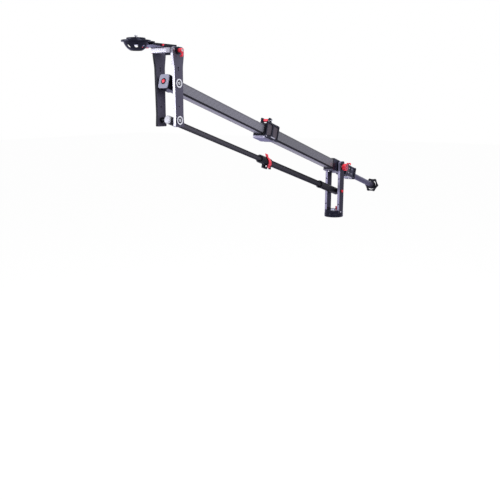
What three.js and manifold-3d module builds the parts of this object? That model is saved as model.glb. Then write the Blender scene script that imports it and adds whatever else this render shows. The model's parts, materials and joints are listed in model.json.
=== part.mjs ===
// Camera jib crane: a telescoping parallelogram arm on a pan base, with a camera head that stays level.
// Millimetres. The origin is the centre of the base drum's seat, +X runs forward to the camera head,
// +Y is the crane's left and +Z is up. The arm is drawn fully extended and raised by restTilt.

import * as THREE from 'three';
import { mergeVertices } from 'three/addons/utils/BufferGeometryUtils.js';
import Module from 'manifold-3d';

const wasm = await Module();
wasm.setup();

// Linkage: four pivots of one parallelogram
const armLength = 1294;
const pivotSpacing = 120;
const upperPivotHeight = 250;
const restTilt = 16.9;

// Clearances, overruns and facets
const fitGap = 0.3;
const runGap = 0.4;
const cutOverrun = 3;
const mergeTolerance = 0.0001;
const roundSides = 24;
const smallSides = 10;
const arcSteps = 2;
const rightAngle = 90;
const halfTurn = 180;
const fullTurn = 360;
const hexSides = 6;

// Base drum and turntable
const drumRadius = 47;
const drumHeight = 15;
const drumEdge = 1.5;
const seatThreadRadius = 4.76;
const seatThreadDepth = 11;
const spigotRadius = 13;
const turntableHeight = 18.6;
const turntableWaist = 1.6;
const bearingInnerRadius = 27;
const bearingOuterRadius = 37;
const bearingThickness = 3;
const retainerRadius = 19;
const retainerThickness = 3;
const retainerScrewRadius = 5;
const retainerScrewHeight = 4;
const retainerStemLength = 10;

// Yoke
const yokeGap = 56;
const yokePlateThickness = 12.5;
const yokePlateWidth = 45;
const yokeTopRise = 28;
const yokeCornerRadius = 13;
const yokeFootDepth = 15;
const yokeEdgeHoleRadius = 3;
const yokeEdgeHoleDepth = 9;
const yokeUpperEdgeHoleHeight = 192;
const yokeLowerEdgeHoleHeight = 65;
const footScrewSpacing = 22;
const footScrewHeadRadius = 4.3;
const footScrewHeadHeight = 5;
const footScrewRadius = 2.5;
const footScrewLength = 22;

// Pivot axles of the yoke
const tiltAxleRadius = 6;
const tiltAxleHeadRadius = 11;
const tiltAxleHeadHeight = 6;
const tiltKnobRadius = 18;
const tiltKnobLength = 21;
const tiltKnobFluteRadius = 3.4;
const tiltKnobFlutes = 8;
const tiltKnobSeat = 2.4;
const lowerAxleRadius = 5;
const lowerAxleHeadRadius = 7.5;
const lowerAxleHeadHeight = 7;
const bushRadius = 12;
const panKnobRadius = 6;
const panKnobHeight = 13;
const panKnobStemRadius = 3;
const panKnobStemHeight = 5;
const panKnobForward = -29;
const panKnobAside = 0;

// Square arm tubes
const rearTubeSize = 46;
const rearTubeWall = 3;
const rearTubeCorner = 5;
const frontTubeSize = 39.2;
const frontTubeWall = 2.4;
const frontTubeCorner = 4;
const tubeOverlapEnd = 600;

// Joint block at the yoke
const jointBlockFront = 72;
const jointBlockRear = 34;
const jointBlockTop = 29;
const jointBlockBottom = 27;
const jointBlockEdge = 3;
const jointSocketDepth = 54;
const jointWall = 2.3;
const neckHalfWidth = 15;
const neckHalfHeight = 21;
const neckEnd = 128;
const jointPlateLength = 26;
const jointPlateThickness = 6;

// Socket screws shared by the arm's blocks
const armScrewRadius = 2.5;
const armScrewHeadRadius = 4.4;
const armScrewHeadHeight = 4.4;
const socketRadius = 2.3;
const socketDepth = 2.4;

// Middle clamp that locks the square telescope
const midClampRear = 616;
const midClampFront = 712;
const midClampHalfWidth = 31;
const midClampTop = 36;
const midClampBottom = 30;
const midClampSlit = 1.6;
const midDeckHeight = 27;
const midWallInner = 25;
const midClampEdge = 4;
const midTubeEnd = 700;
const midPlateLength = 62;
const midPlateThickness = 6;
const midPlateHalfWidth = 29;
const gasketThickness = 3.6;
const gasketHalfSize = 25;
const lugThickness = 7;
const lugLength = 18;
const lugRise = 19;
const lugPlace = 678;
const lugFarOffset = 22;
const midBoltHeadRadius = 5;
const midBoltHeadHeight = 4;

// Recessed pockets in the clamps' side faces and in the camera platform
const pocketMarginShare = 0.1;
const pocketRibShare = 0.1;
const pocketInnerShare = 0.82;
const pocketCorner = 5;
const pocketDepth = 3.4;

// Rear clamp that holds the counterweight bar
const rearClampFront = 74;
const rearClampRear = 180;
const rearClampTop = 31;
const rearClampBottom = 23;
const rearClampOuter = 28;
const rearCollarLength = 50;
const rearCollarSlit = 2.4;
const rearFrameThickness = 6;
const rearFrameHalfWidth = 29;
const rearFrameRise = 3;
const rearPlateLength = 56;
const rearPlateThickness = 5;
const rearStudDepth = 8;
const barRadius = 14;
const barWall = 2.5;
const barFront = 134;
const barRear = 500;
const stopPlace = 478;
const stopThickness = 10;
const stopHubRadius = 20;
const stopRimRadius = 33;
const stopRimWidth = 6;
const stopSpokes = 3;
const stopSpokeWidth = 10;
const stopLobes = 6;
const stopLobeRadius = 6;

// Front block and end cap of the upper arm
const frontBlockReach = 22;
const frontBlockBack = 24;
const frontBlockHalfWidth = 20.5;
const frontBlockHalfHeight = 23.5;
const frontSpigotLength = 46;
const frontCapThickness = 3.4;
const frontCapCorner = 9;
const buttonRadius = 9.5;
const buttonRise = 2.2;

// Round lower arm
const lowerRearRadius = 13.3;
const lowerRearWall = 2.3;
const lowerFrontRadius = 10.5;
const lowerFrontWall = 2;
const couplingRadius = 17;
const couplingRear = 22;
const couplingFront = 172;
const couplingBoreStart = 30;
const couplingLipLength = 12;
const couplingLipRise = 1.2;
const lowerClampRear = 640;
const lowerClampFront = 718;
const lowerClampRadius = 17;
const lowerClampStep = 700;
const lowerClampSlit = 2;
const flipPinAside = 9;
const flipPinDrop = 21;
const flipPinRadius = 2;
const flipEyeRadius = 4.6;
const flipLugLength = 6;
const flipEyeLength = 20;
const flipLugEdge = 3;
const flipLeverThickness = 3.4;
const flipRootAngle = -70;
const flipBandAngle = -36;
const flipTipAngle = 62;
const flipSectorSteps = 6;
const flipRootOverlapAngle = 3;
const flipTipReach = 12;
const flipSlantShare = 0.75;
const fittingRadius = 14;
const fittingReach = 13;
const fittingBack = 30;
const fittingEdge = 1.6;

// Red clamp levers: a round boss with a curled handle
const studRadius = 2.6;
const leverBossRadius = 6.6;
const leverBossLength = 16;
const leverHeadRadius = 4.8;
const leverHeadDepth = 2.6;
const capShare = 0.25;
const leverHandleReach = 30;
const leverHandleThickness = 7;
const leverHandleRoot = 8;
const leverTabWidth = 6;
const leverTabFoot = 1.5;
const leverRaise = 1.4;
const midLeverLength = 20;
const midLeverTurn = 168;
const rearLeverTurn = 55;
const tiltLeverTurn = 100;
const tiltLeverReach = 21;
const latchLeverTurn = 172;
const latchLeverReach = 25;
const washerRadius = 7.2;
const washerThickness = 1.2;
const tiltWasherRadius = 12;
const tiltWasherThickness = 5;

// Camera head
const headGap = 69;
const headPlateThickness = 10;
const headForward = -2;
const headTop = 116;
const headFlareHeight = 90;
const headFlareHalf = 28;
const headShoulderHeight = 52;
const headShoulderHalf = 21.7;
const headWaistHeight = 100;
const headWaistHalf = 19.7;
const headFootDrop = 134;
const headFootHalf = 22.2;
const headBottomDrop = 141.5;
const headCornerRadius = 14;
const headFootRadius = 2;
const headUpperHole = 49;
const headLowerHole = 76;
const headHoleRadius = 3.2;
const headHoleSpacing = 8;
const headAxleRadius = 4;
const headAxleEndRadius = 7;
const headRingStep = 0.9;
const headRingRadius = 14.5;
const headDishRadius = 12;
const headRingThickness = 2.6;
const headSpacerRadius = 9;

// Tilting camera platform
const tiltPivotForward = 2;
const tiltPivotRise = 104;
const tiltBoltRadius = 3;
const hingeBlockFront = 44;
const hingeBlockRear = 9;
const hingeBlockHalfHeight = 8;
const hingeBlockEdge = 1.5;
const platformHalfWidth = 33.6;
const platformRear = 7;
const platformFront = 106;
const platformThickness = 10;
const platformFrontThickness = 5;
const platformTaperStart = 46;
const platformPocketFront = 84;
const platformPocketDepth = 3;
const platformPinRadius = 1.2;
const platformPinInset = 6;
const latchPlace = 64;
const latchLength = 36;
const latchInset = 9;
const latchReach = 7;
const latchHeight = 9;
const latchScrewSpacing = 25;
const latchKnobRadius = 2.8;
const latchKnobLength = 6.5;

// Levelling bowl in front of the platform
const bowlForward = 147;
const bowlFlangeRadius = 46.5;
const bowlFlangeThickness = 5;
const bowlSphereRadius = 37.5;
const bowlWall = 3;
const bowlSphereRise = 5;
const bowlDepth = 26;
const bowlProfileSteps = 5;
const bowlWindows = 8;
const bowlWindowRadius = 7;
const bowlWindowDrop = 14;
const windowTurnShare = 0;
const tongueRear = 86;
const tongueHalfWidth = 24;
const ballPlateRadius = 30;
const ballPlateThickness = 7;
const ballSeatDepth = 9;
const ballGap = 0.9;
const cameraScrewRadius = 4.76;
const cameraScrewRise = 9;
const cameraScrewHeadRadius = 11;
const cameraScrewHeadHeight = 5;

// Values worked out from the sizes above
const tilt = THREE.MathUtils.degToRad(restTilt);
const quarterTurn = Math.PI / 2;
const lowerPivotHeight = upperPivotHeight - pivotSpacing;
const headX = armLength * Math.cos(tilt);
const headZ = upperPivotHeight + armLength * Math.sin(tilt);
const turntableBase = drumHeight + fitGap;
const turntableTop = turntableBase + turntableHeight;
const yokeInner = yokeGap / 2;
const yokeOuter = yokeInner + yokePlateThickness;
const yokeFootHeight = turntableTop - yokeFootDepth;
const jointHalfWidth = rearTubeSize / 2 + fitGap + jointWall;
const headInner = headGap / 2;
const headOuter = headInner + headPlateThickness;
const platformBase = tiltPivotRise + hingeBlockHalfHeight + fitGap;
const platformTop = platformBase + platformThickness;
const flangeBase = platformTop + fitGap;
const flangeTop = flangeBase + bowlFlangeThickness;

// Materials
function finish(color, roughness, metalness) {
  return new THREE.MeshStandardMaterial({ color, roughness, metalness });
}
const carbon = () => finish('#3b3a42', 0.4, 0.1);
const blackMetal = () => finish('#26262b', 0.45, 0.6);
const greyMetal = () => finish('#55555f', 0.4, 0.7);
const redMetal = () => finish('#c3202a', 0.3, 0.6);
const steel = () => finish('#c9c9cd', 0.25, 1);
const plastic = () => finish('#141416', 0.6, 0);
const palePlastic = () => finish('#c8c8cf', 0.5, 0);

// Solids from three.js geometry, joined and cut
function solidOf(geometry) {
  const bare = geometry.index ? geometry.toNonIndexed() : geometry.clone();
  bare.deleteAttribute('normal');
  bare.deleteAttribute('uv');
  const merged = mergeVertices(bare, mergeTolerance);
  const index = merged.index.array;
  const triangles = [];
  for (let i = 0; i < index.length; i += 3) {
    const [a, b, c] = [index[i], index[i + 1], index[i + 2]];
    if (a !== b && b !== c && c !== a) triangles.push(a, b, c);
  }
  const vertProperties = Float32Array.from(merged.attributes.position.array);
  const triVerts = Uint32Array.from(triangles);
  return new wasm.Manifold(new wasm.Mesh({ numProp: 3, vertProperties, triVerts }));
}

const asSolid = (piece) => (piece.isBufferGeometry ? solidOf(piece) : piece);
const join = (...pieces) => pieces.map(asSolid).reduce((sum, piece) => sum.add(piece));
const cut = (body, ...tools) => tools.map(asSolid).reduce((rest, tool) => rest.subtract(tool), asSolid(body));

function geometryOf(solid) {
  const mesh = solid.getMesh();
  const geometry = new THREE.BufferGeometry();
  geometry.setAttribute('position', new THREE.BufferAttribute(Float32Array.from(mesh.vertProperties), 3));
  geometry.setIndex(new THREE.BufferAttribute(Uint32Array.from(mesh.triVerts), 1));
  geometry.computeVertexNormals();
  return geometry;
}

function addPart(group, name, piece, material) {
  const mesh = new THREE.Mesh(geometryOf(asSolid(piece)), material);
  mesh.name = name;
  group.add(mesh);
  return mesh;
}

// Primitive shapes placed by their limits
function box(x0, x1, y0, y1, z0, z1) {
  const geometry = new THREE.BoxGeometry(x1 - x0, y1 - y0, z1 - z0);
  return geometry.translate((x0 + x1) / 2, (y0 + y1) / 2, (z0 + z1) / 2);
}

function rodX(radius, x0, x1, y = 0, z = 0, sides = roundSides) {
  const geometry = new THREE.CylinderGeometry(radius, radius, x1 - x0, sides);
  return geometry.rotateZ(-quarterTurn).translate((x0 + x1) / 2, y, z);
}

function rodY(radius, y0, y1, x = 0, z = 0, sides = roundSides) {
  return new THREE.CylinderGeometry(radius, radius, y1 - y0, sides).translate(x, (y0 + y1) / 2, z);
}

function rodZ(radius, z0, z1, x = 0, y = 0, sides = roundSides) {
  const geometry = new THREE.CylinderGeometry(radius, radius, z1 - z0, sides);
  return geometry.rotateX(quarterTurn).translate(x, y, (z0 + z1) / 2);
}

function extruded(shape, depth) {
  return new THREE.ExtrudeGeometry(shape, { depth, bevelEnabled: false, curveSegments: arcSteps });
}

// An outline in (x, z) made into a plate between two places on Y
function plateY(shape, y0, y1) {
  return extruded(shape, y1 - y0).rotateX(quarterTurn).translate(0, y1, 0);
}

// An outline in (y, z) made into a bar between two places on X
function barX(shape, x0, x1) {
  const turn = new THREE.Matrix4().makeBasis(
    new THREE.Vector3(0, 1, 0), new THREE.Vector3(0, 0, 1), new THREE.Vector3(1, 0, 0));
  return extruded(shape, x1 - x0).applyMatrix4(turn).translate(x0, 0, 0);
}

// An outline in (x, y) made into a plate between two heights
function plateZ(shape, z0, z1) {
  return extruded(shape, z1 - z0).translate(0, 0, z0);
}

// A closed outline through corner points, each corner rounded by the same length
function roundedOutline(corners, radius) {
  const points = corners.map(([x, y]) => new THREE.Vector2(x, y));
  const shape = new THREE.Shape();
  points.forEach((corner, i) => {
    const before = points[(i + points.length - 1) % points.length];
    const after = points[(i + 1) % points.length];
    const start = corner.clone().add(before.clone().sub(corner).setLength(radius));
    const end = corner.clone().add(after.clone().sub(corner).setLength(radius));
    if (i === 0) shape.moveTo(start.x, start.y);
    else shape.lineTo(start.x, start.y);
    shape.quadraticCurveTo(corner.x, corner.y, end.x, end.y);
  });
  shape.closePath();
  return shape;
}

function roundedRect(x0, x1, y0, y1, radius) {
  return roundedOutline([[x0, y0], [x1, y0], [x1, y1], [x0, y1]], radius);
}

const square = (half, radius) => roundedRect(-half, half, -half, half, radius);

function lathe(profile, sides = roundSides) {
  const points = profile.map(([radius, height]) => new THREE.Vector2(radius, height));
  return new THREE.LatheGeometry(points, sides).rotateX(quarterTurn);
}

// A ring along Y around a pivot
function ringY(outer, inner, y0, y1, x = 0, z = 0, sides = roundSides) {
  return cut(rodY(outer, y0, y1, x, z, sides), rodY(inner, y0 - cutOverrun, y1 + cutOverrun, x, z, sides));
}

// A socket screw along +Z, its head's underside at height zero and its stem below
function socketScrew(headRadius, headHeight, stemRadius, stemLength) {
  const head = rodZ(headRadius, 0, headHeight, 0, 0, smallSides);
  const stem = rodZ(stemRadius, -stemLength, cutOverrun / 2, 0, 0, smallSides);
  const depth = Math.min(socketDepth, headHeight / 2);
  const socket = rodZ(socketRadius, headHeight - depth, headHeight + cutOverrun, 0, 0, hexSides);
  return cut(join(head, stem), socket);
}

const turned = (solid, x, y, z) => solid.rotate([x, y, z]);
const moved = (solid, x, y, z) => solid.translate([x, y, z]);

// The same solid on both sides of the middle plane
function bothSides(solid) {
  return join(solid, solid.mirror([0, 1, 0]));
}

// Two mirror-image pockets side by side, each deeper away from their shared rib
function pocketPair(x0, x1, z0, z1) {
  const margin = (z1 - z0) * pocketMarginShare;
  const rib = (x1 - x0) * pocketRibShare;
  const middle = (x0 + x1) / 2;
  const low = z0 + margin;
  const high = z1 - margin;
  const innerLow = high - (high - low) * pocketInnerShare;
  const ribRear = middle - rib / 2;
  const rear = [[x0 + margin, low], [ribRear, innerLow], [ribRear, high], [x0 + margin, high]];
  const front = rear.map(([x, z]) => [x0 + x1 - x, z]).reverse();
  return [rear, front].map((corners) => roundedOutline(corners, pocketCorner));
}

// A clamp lever around +Z: round boss, and a handle along +X that curls back to its base
function clampLever(bossLength, reach = leverHandleReach) {
  const boss = rodZ(leverBossRadius, 0, bossLength, 0, 0, smallSides);
  const low = bossLength - leverHandleRoot;
  const tabStart = reach - leverTabWidth;
  const outline = new THREE.Shape();
  outline.moveTo(0, low);
  outline.quadraticCurveTo(reach / 2, low + leverRaise, tabStart, low);
  outline.lineTo(tabStart, leverTabFoot);
  outline.lineTo(reach, leverTabFoot);
  outline.lineTo(reach, low);
  outline.quadraticCurveTo(reach / 2, bossLength + leverRaise / 2, 0, bossLength - leverRaise);
  outline.closePath();
  const handle = plateY(outline, -leverHandleThickness / 2, leverHandleThickness / 2);
  return join(boss, handle);
}

// The same lever bored for a bolt whose head sinks into it
function boredLever(bossLength, reach) {
  const bore = rodZ(tiltBoltRadius + fitGap, -cutOverrun, bossLength + cutOverrun, 0, 0, smallSides);
  const counterbore = rodZ(leverHeadRadius + fitGap, bossLength - leverHeadDepth, bossLength + cutOverrun,
    0, 0, smallSides);
  return cut(clampLever(bossLength, reach), bore, counterbore);
}

// A clamp lever in one piece with its collar and stud, the collar's underside at height zero
function leverWithStud(bossLength, studDepth, reach = leverHandleReach) {
  const collar = rodZ(washerRadius, 0, washerThickness, 0, 0, smallSides);
  const stud = rodZ(studRadius, -studDepth, washerThickness, 0, 0, smallSides);
  const top = washerThickness + bossLength;
  const recess = rodZ(leverHeadRadius, top - leverHeadDepth / 2, top + cutOverrun, 0, 0, smallSides);
  const socket = rodZ(socketRadius, top - leverHeadDepth, top + cutOverrun, 0, 0, hexSides);
  const lever = moved(clampLever(bossLength, reach), 0, 0, washerThickness);
  return cut(join(collar, lever, stud), recess, socket);
}

// The head of a lever's screw, sunk in the counterbore, as a disc along +Z with a hex socket
function leverHead(bossLength) {
  const base = bossLength - leverHeadDepth + fitGap;
  const socket = rodZ(socketRadius, base + leverHeadDepth / 2, bossLength + cutOverrun, 0, 0, hexSides);
  return cut(rodZ(leverHeadRadius, base, bossLength, 0, 0, smallSides), socket);
}

const jib = new THREE.Group();

function frameAt(x, z, angle) {
  const group = new THREE.Group();
  group.position.set(x, 0, z);
  group.rotation.y = -angle;
  jib.add(group);
  return group;
}
const upperArm = frameAt(0, upperPivotHeight, tilt);
const lowerArm = frameAt(0, lowerPivotHeight, tilt);
const head = frameAt(headX, headZ, 0);

// Pan base: fixed drum with a spigot, thrust ring, turntable and its retainer
function buildPanBase() {
  const spigotTop = turntableTop - retainerThickness - fitGap;
  const grooveFloor = drumHeight - bearingThickness / 2;
  const drum = lathe([
    [0, seatThreadDepth], [seatThreadRadius, seatThreadDepth], [seatThreadRadius, 0],
    [drumRadius - drumEdge, 0], [drumRadius, drumEdge], [drumRadius, drumHeight],
    [bearingOuterRadius, drumHeight], [bearingOuterRadius, grooveFloor],
    [bearingInnerRadius, grooveFloor], [bearingInnerRadius, drumHeight],
    [spigotRadius, drumHeight], [spigotRadius, spigotTop], [0, spigotTop],
  ]);
  const stemHole = rodZ(retainerScrewRadius / 2 + fitGap, spigotTop - retainerStemLength - fitGap,
    spigotTop + cutOverrun);
  addPart(jib, 'base_drum', cut(drum, stemHole), blackMetal());

  const ringInner = bearingInnerRadius + runGap;
  const ringOuter = bearingOuterRadius - runGap;
  const ring = lathe([
    [ringInner, grooveFloor + fitGap], [ringOuter, grooveFloor + fitGap],
    [ringOuter, grooveFloor + bearingThickness], [ringInner, grooveFloor + bearingThickness],
    [ringInner, grooveFloor + fitGap],
  ]);
  addPart(jib, 'pan_bearing_ring', ring, palePlastic());

  const grooveRoof = grooveFloor + bearingThickness + fitGap;
  const middle = turntableBase + turntableHeight / 2;
  const table = lathe([
    [spigotRadius + runGap, turntableBase], [bearingInnerRadius, turntableBase],
    [bearingInnerRadius, grooveRoof], [bearingOuterRadius, grooveRoof],
    [bearingOuterRadius, turntableBase], [drumRadius, turntableBase],
    [drumRadius - turntableWaist, turntableBase + turntableWaist], [drumRadius - turntableWaist, middle],
    [drumRadius - turntableWaist, turntableTop - drumEdge],
    [drumRadius - turntableWaist - drumEdge, turntableTop],
    [retainerRadius + runGap, turntableTop], [retainerRadius + runGap, spigotTop],
    [spigotRadius + runGap, spigotTop], [spigotRadius + runGap, turntableBase],
  ]);
  const notchHalf = yokePlateWidth / 2 + fitGap;
  const notch = solidOf(box(-notchHalf, notchHalf, yokeInner - fitGap, drumRadius + cutOverrun,
    yokeFootHeight - fitGap, turntableTop + cutOverrun));
  const screwHoles = footScrews(footScrewRadius + fitGap, fitGap);
  const knobHole = rodZ(panKnobStemRadius + fitGap, turntableTop - panKnobStemHeight - fitGap,
    turntableTop + cutOverrun, panKnobForward, panKnobAside, smallSides);
  addPart(jib, 'turntable', cut(table, bothSides(notch), ...screwHoles, knobHole), blackMetal());

  const retainer = rodZ(retainerRadius, spigotTop + fitGap, spigotTop + retainerThickness);
  const screw = socketScrew(retainerScrewRadius, retainerScrewHeight, retainerScrewRadius / 2,
    retainerThickness + retainerStemLength);
  const retainerScrew = moved(screw, 0, 0, spigotTop + retainerThickness - fitGap);
  addPart(jib, 'pan_retainer', join(retainer, retainerScrew), steel());

  const stem = rodZ(panKnobStemRadius, turntableTop - panKnobStemHeight, turntableTop + cutOverrun,
    0, 0, smallSides);
  const grip = rodZ(panKnobRadius, turntableTop + fitGap, turntableTop + fitGap + panKnobHeight,
    0, 0, hexSides * 2);
  addPart(jib, 'pan_lock_knob', moved(join(stem, grip), panKnobForward, panKnobAside, 0), redMetal());
}

// Holes along Y for the screws that hold the yoke plates' feet, one solid each
function footScrews(radius, slack) {
  const screws = [];
  for (const side of [-1, 1]) {
    for (const place of [-footScrewSpacing / 2, footScrewSpacing / 2]) {
      const inner = yokeOuter - footScrewLength - slack;
      const reach = side > 0 ? [inner, yokeOuter + cutOverrun] : [-yokeOuter - cutOverrun, -inner];
      screws.push(rodY(radius, ...reach, place, footScrewHeight(), smallSides));
    }
  }
  return screws;
}
function footScrewHeight() {
  return yokeFootHeight + yokeFootDepth / 2;
}

// Yoke: two upright plates screwed to the turntable, with the two pivot axles across them
function buildYoke() {
  const half = yokePlateWidth / 2;
  const top = upperPivotHeight + yokeTopRise;
  const outline = new THREE.Shape();
  outline.moveTo(-half, yokeFootHeight);
  outline.lineTo(half, yokeFootHeight);
  outline.lineTo(half, top - yokeCornerRadius);
  outline.quadraticCurveTo(half, top, half - yokeCornerRadius, top);
  outline.lineTo(yokeCornerRadius - half, top);
  outline.quadraticCurveTo(-half, top, -half, top - yokeCornerRadius);
  outline.closePath();
  const holes = [
    rodY(tiltAxleRadius + fitGap, yokeInner - cutOverrun, yokeOuter + cutOverrun, 0, upperPivotHeight),
    rodY(lowerAxleRadius + fitGap, yokeInner - cutOverrun, yokeOuter + cutOverrun, 0, lowerPivotHeight),
    ...[yokeUpperEdgeHoleHeight, yokeLowerEdgeHoleHeight].map((height) => rodX(yokeEdgeHoleRadius,
      half - yokeEdgeHoleDepth, half + cutOverrun, (yokeInner + yokeOuter) / 2, height, smallSides)),
  ];
  const blank = cut(plateY(outline, yokeInner, yokeOuter), ...holes);
  const left = cut(blank, ...footScrews(footScrewRadius + fitGap, fitGap));
  addPart(jib, 'yoke_plate_left', left, greyMetal());
  addPart(jib, 'yoke_plate_right', left.mirror([0, 1, 0]), greyMetal());

  const upright = socketScrew(footScrewHeadRadius, footScrewHeadHeight, footScrewRadius,
    footScrewLength - fitGap);
  const screw = turned(upright, -rightAngle, 0, 0);
  for (const [place, end] of [[-footScrewSpacing / 2, 'rear'], [footScrewSpacing / 2, 'front']]) {
    const leftScrew = moved(screw, place, yokeOuter + fitGap, footScrewHeight());
    addPart(jib, `foot_screw_left_${end}`, leftScrew, steel());
    addPart(jib, `foot_screw_right_${end}`, leftScrew.mirror([0, 1, 0]), steel());
  }

  const knobSeat = yokeOuter + tiltKnobSeat;
  const faceEnd = yokeOuter + fitGap;
  const axle = rodY(tiltAxleRadius, -faceEnd, knobSeat + tiltKnobLength / 2, 0, upperPivotHeight);
  const axleHead = rodY(tiltAxleHeadRadius, -faceEnd - tiltAxleHeadHeight, -faceEnd, 0, upperPivotHeight);
  addPart(jib, 'tilt_axle', join(axle, axleHead), steel());

  const knobWasher = ringY(bushRadius, tiltAxleRadius + fitGap, faceEnd, knobSeat - fitGap,
    0, upperPivotHeight);

  const knob = rodY(tiltKnobRadius, knobSeat, knobSeat + tiltKnobLength, 0, upperPivotHeight);
  const flutes = [];
  for (let i = 0; i < tiltKnobFlutes; i++) {
    const angle = (i / tiltKnobFlutes) * Math.PI * 2;
    const reach = tiltKnobRadius + tiltKnobFluteRadius / 2;
    flutes.push(rodY(tiltKnobFluteRadius, knobSeat - cutOverrun, knobSeat + tiltKnobLength + cutOverrun,
      reach * Math.cos(angle), upperPivotHeight + reach * Math.sin(angle), smallSides));
  }
  const knobBore = rodY(tiltAxleRadius + fitGap, knobSeat - cutOverrun, knobSeat + tiltKnobLength / 2 + fitGap,
    0, upperPivotHeight);
  addPart(jib, 'tilt_lock_knob', cut(knob, ...flutes, knobBore), redMetal());

  const lowerAxle = rodY(lowerAxleRadius, -faceEnd, faceEnd, 0, lowerPivotHeight);
  const lowerHead = rodY(lowerAxleHeadRadius, faceEnd, faceEnd + lowerAxleHeadHeight,
    0, lowerPivotHeight, smallSides);
  addPart(jib, 'lower_axle', join(lowerAxle, bothSides(solidOf(lowerHead))), redMetal());
  addPart(jib, 'tilt_knob_washer', knobWasher, steel());
}

// Joint block that turns on the yoke, with the rear tube's socket and the neck of the rear clamp
function buildJointBlock() {
  const outline = roundedOutline([
    [-jointBlockRear, -jointBlockBottom], [jointBlockFront, -jointBlockBottom],
    [jointBlockFront, jointBlockTop], [-jointBlockRear, jointBlockTop],
  ], jointBlockEdge);
  const body = plateY(outline, -jointHalfWidth, jointHalfWidth);
  const neck = box(-neckEnd, 0, -neckHalfWidth, neckHalfWidth, -neckHalfHeight, neckHalfHeight);
  const hubs = rodY(bushRadius, fitGap - yokeInner, yokeInner - fitGap);
  const socketHalf = rearTubeSize / 2 + fitGap;
  const socket = barX(square(socketHalf, rearTubeCorner), jointBlockFront - jointSocketDepth,
    jointBlockFront + cutOverrun);
  const pivot = rodY(tiltAxleRadius + runGap, -yokeInner - cutOverrun, yokeInner + cutOverrun);
  const screwHole = rodZ(armScrewRadius + fitGap, -jointBlockBottom - cutOverrun, -jointBlockBottom + jointWall,
    plateScrewX(), 0, smallSides);
  addPart(upperArm, 'arm_joint_block', cut(join(body, neck, hubs), socket, pivot, screwHole), blackMetal());

  const top = -jointBlockBottom - fitGap;
  const plate = box(jointBlockFront - jointPlateLength, jointBlockFront, -jointHalfWidth, jointHalfWidth,
    top - jointPlateThickness, top);
  const hole = rodZ(armScrewRadius + fitGap, top - jointPlateThickness - cutOverrun, top + cutOverrun,
    plateScrewX(), 0, smallSides);
  addPart(upperArm, 'joint_block_plate', cut(plate, hole), greyMetal());
  addPlateScrew('joint_plate_screw', plateScrewX(), 0, top - jointPlateThickness,
    jointPlateThickness + jointWall / 2);
}
function plateScrewX() {
  return jointBlockFront - jointPlateLength / 2;
}

// A socket screw that holds an arm's base plate from below
function addPlateScrew(name, x, y, underside, stemLength) {
  const upright = socketScrew(armScrewHeadRadius, armScrewHeadHeight, armScrewRadius, stemLength);
  const screw = turned(upright, halfTurn, 0, 0);
  addPart(upperArm, name, moved(screw, x, y, underside - fitGap), steel());
}

// The two square carbon tubes, one inside the other
function squareTube(size, wall, corner, x0, x1) {
  const outer = barX(square(size / 2, corner), x0, x1);
  const inner = barX(square(size / 2 - wall, corner - wall / 2), x0 - cutOverrun, x1 + cutOverrun);
  return cut(outer, inner);
}
function buildArmTubes() {
  const rearStart = jointBlockFront - jointSocketDepth + fitGap;
  const rear = squareTube(rearTubeSize, rearTubeWall, rearTubeCorner, rearStart, midTubeEnd);
  addPart(upperArm, 'arm_tube_rear', rear, carbon());
  const frontEnd = armLength - frontBlockBack - fitGap;
  const front = squareTube(frontTubeSize, frontTubeWall, frontTubeCorner, tubeOverlapEnd, frontEnd);
  addPart(upperArm, 'arm_tube_front', front, carbon());
}

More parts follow.
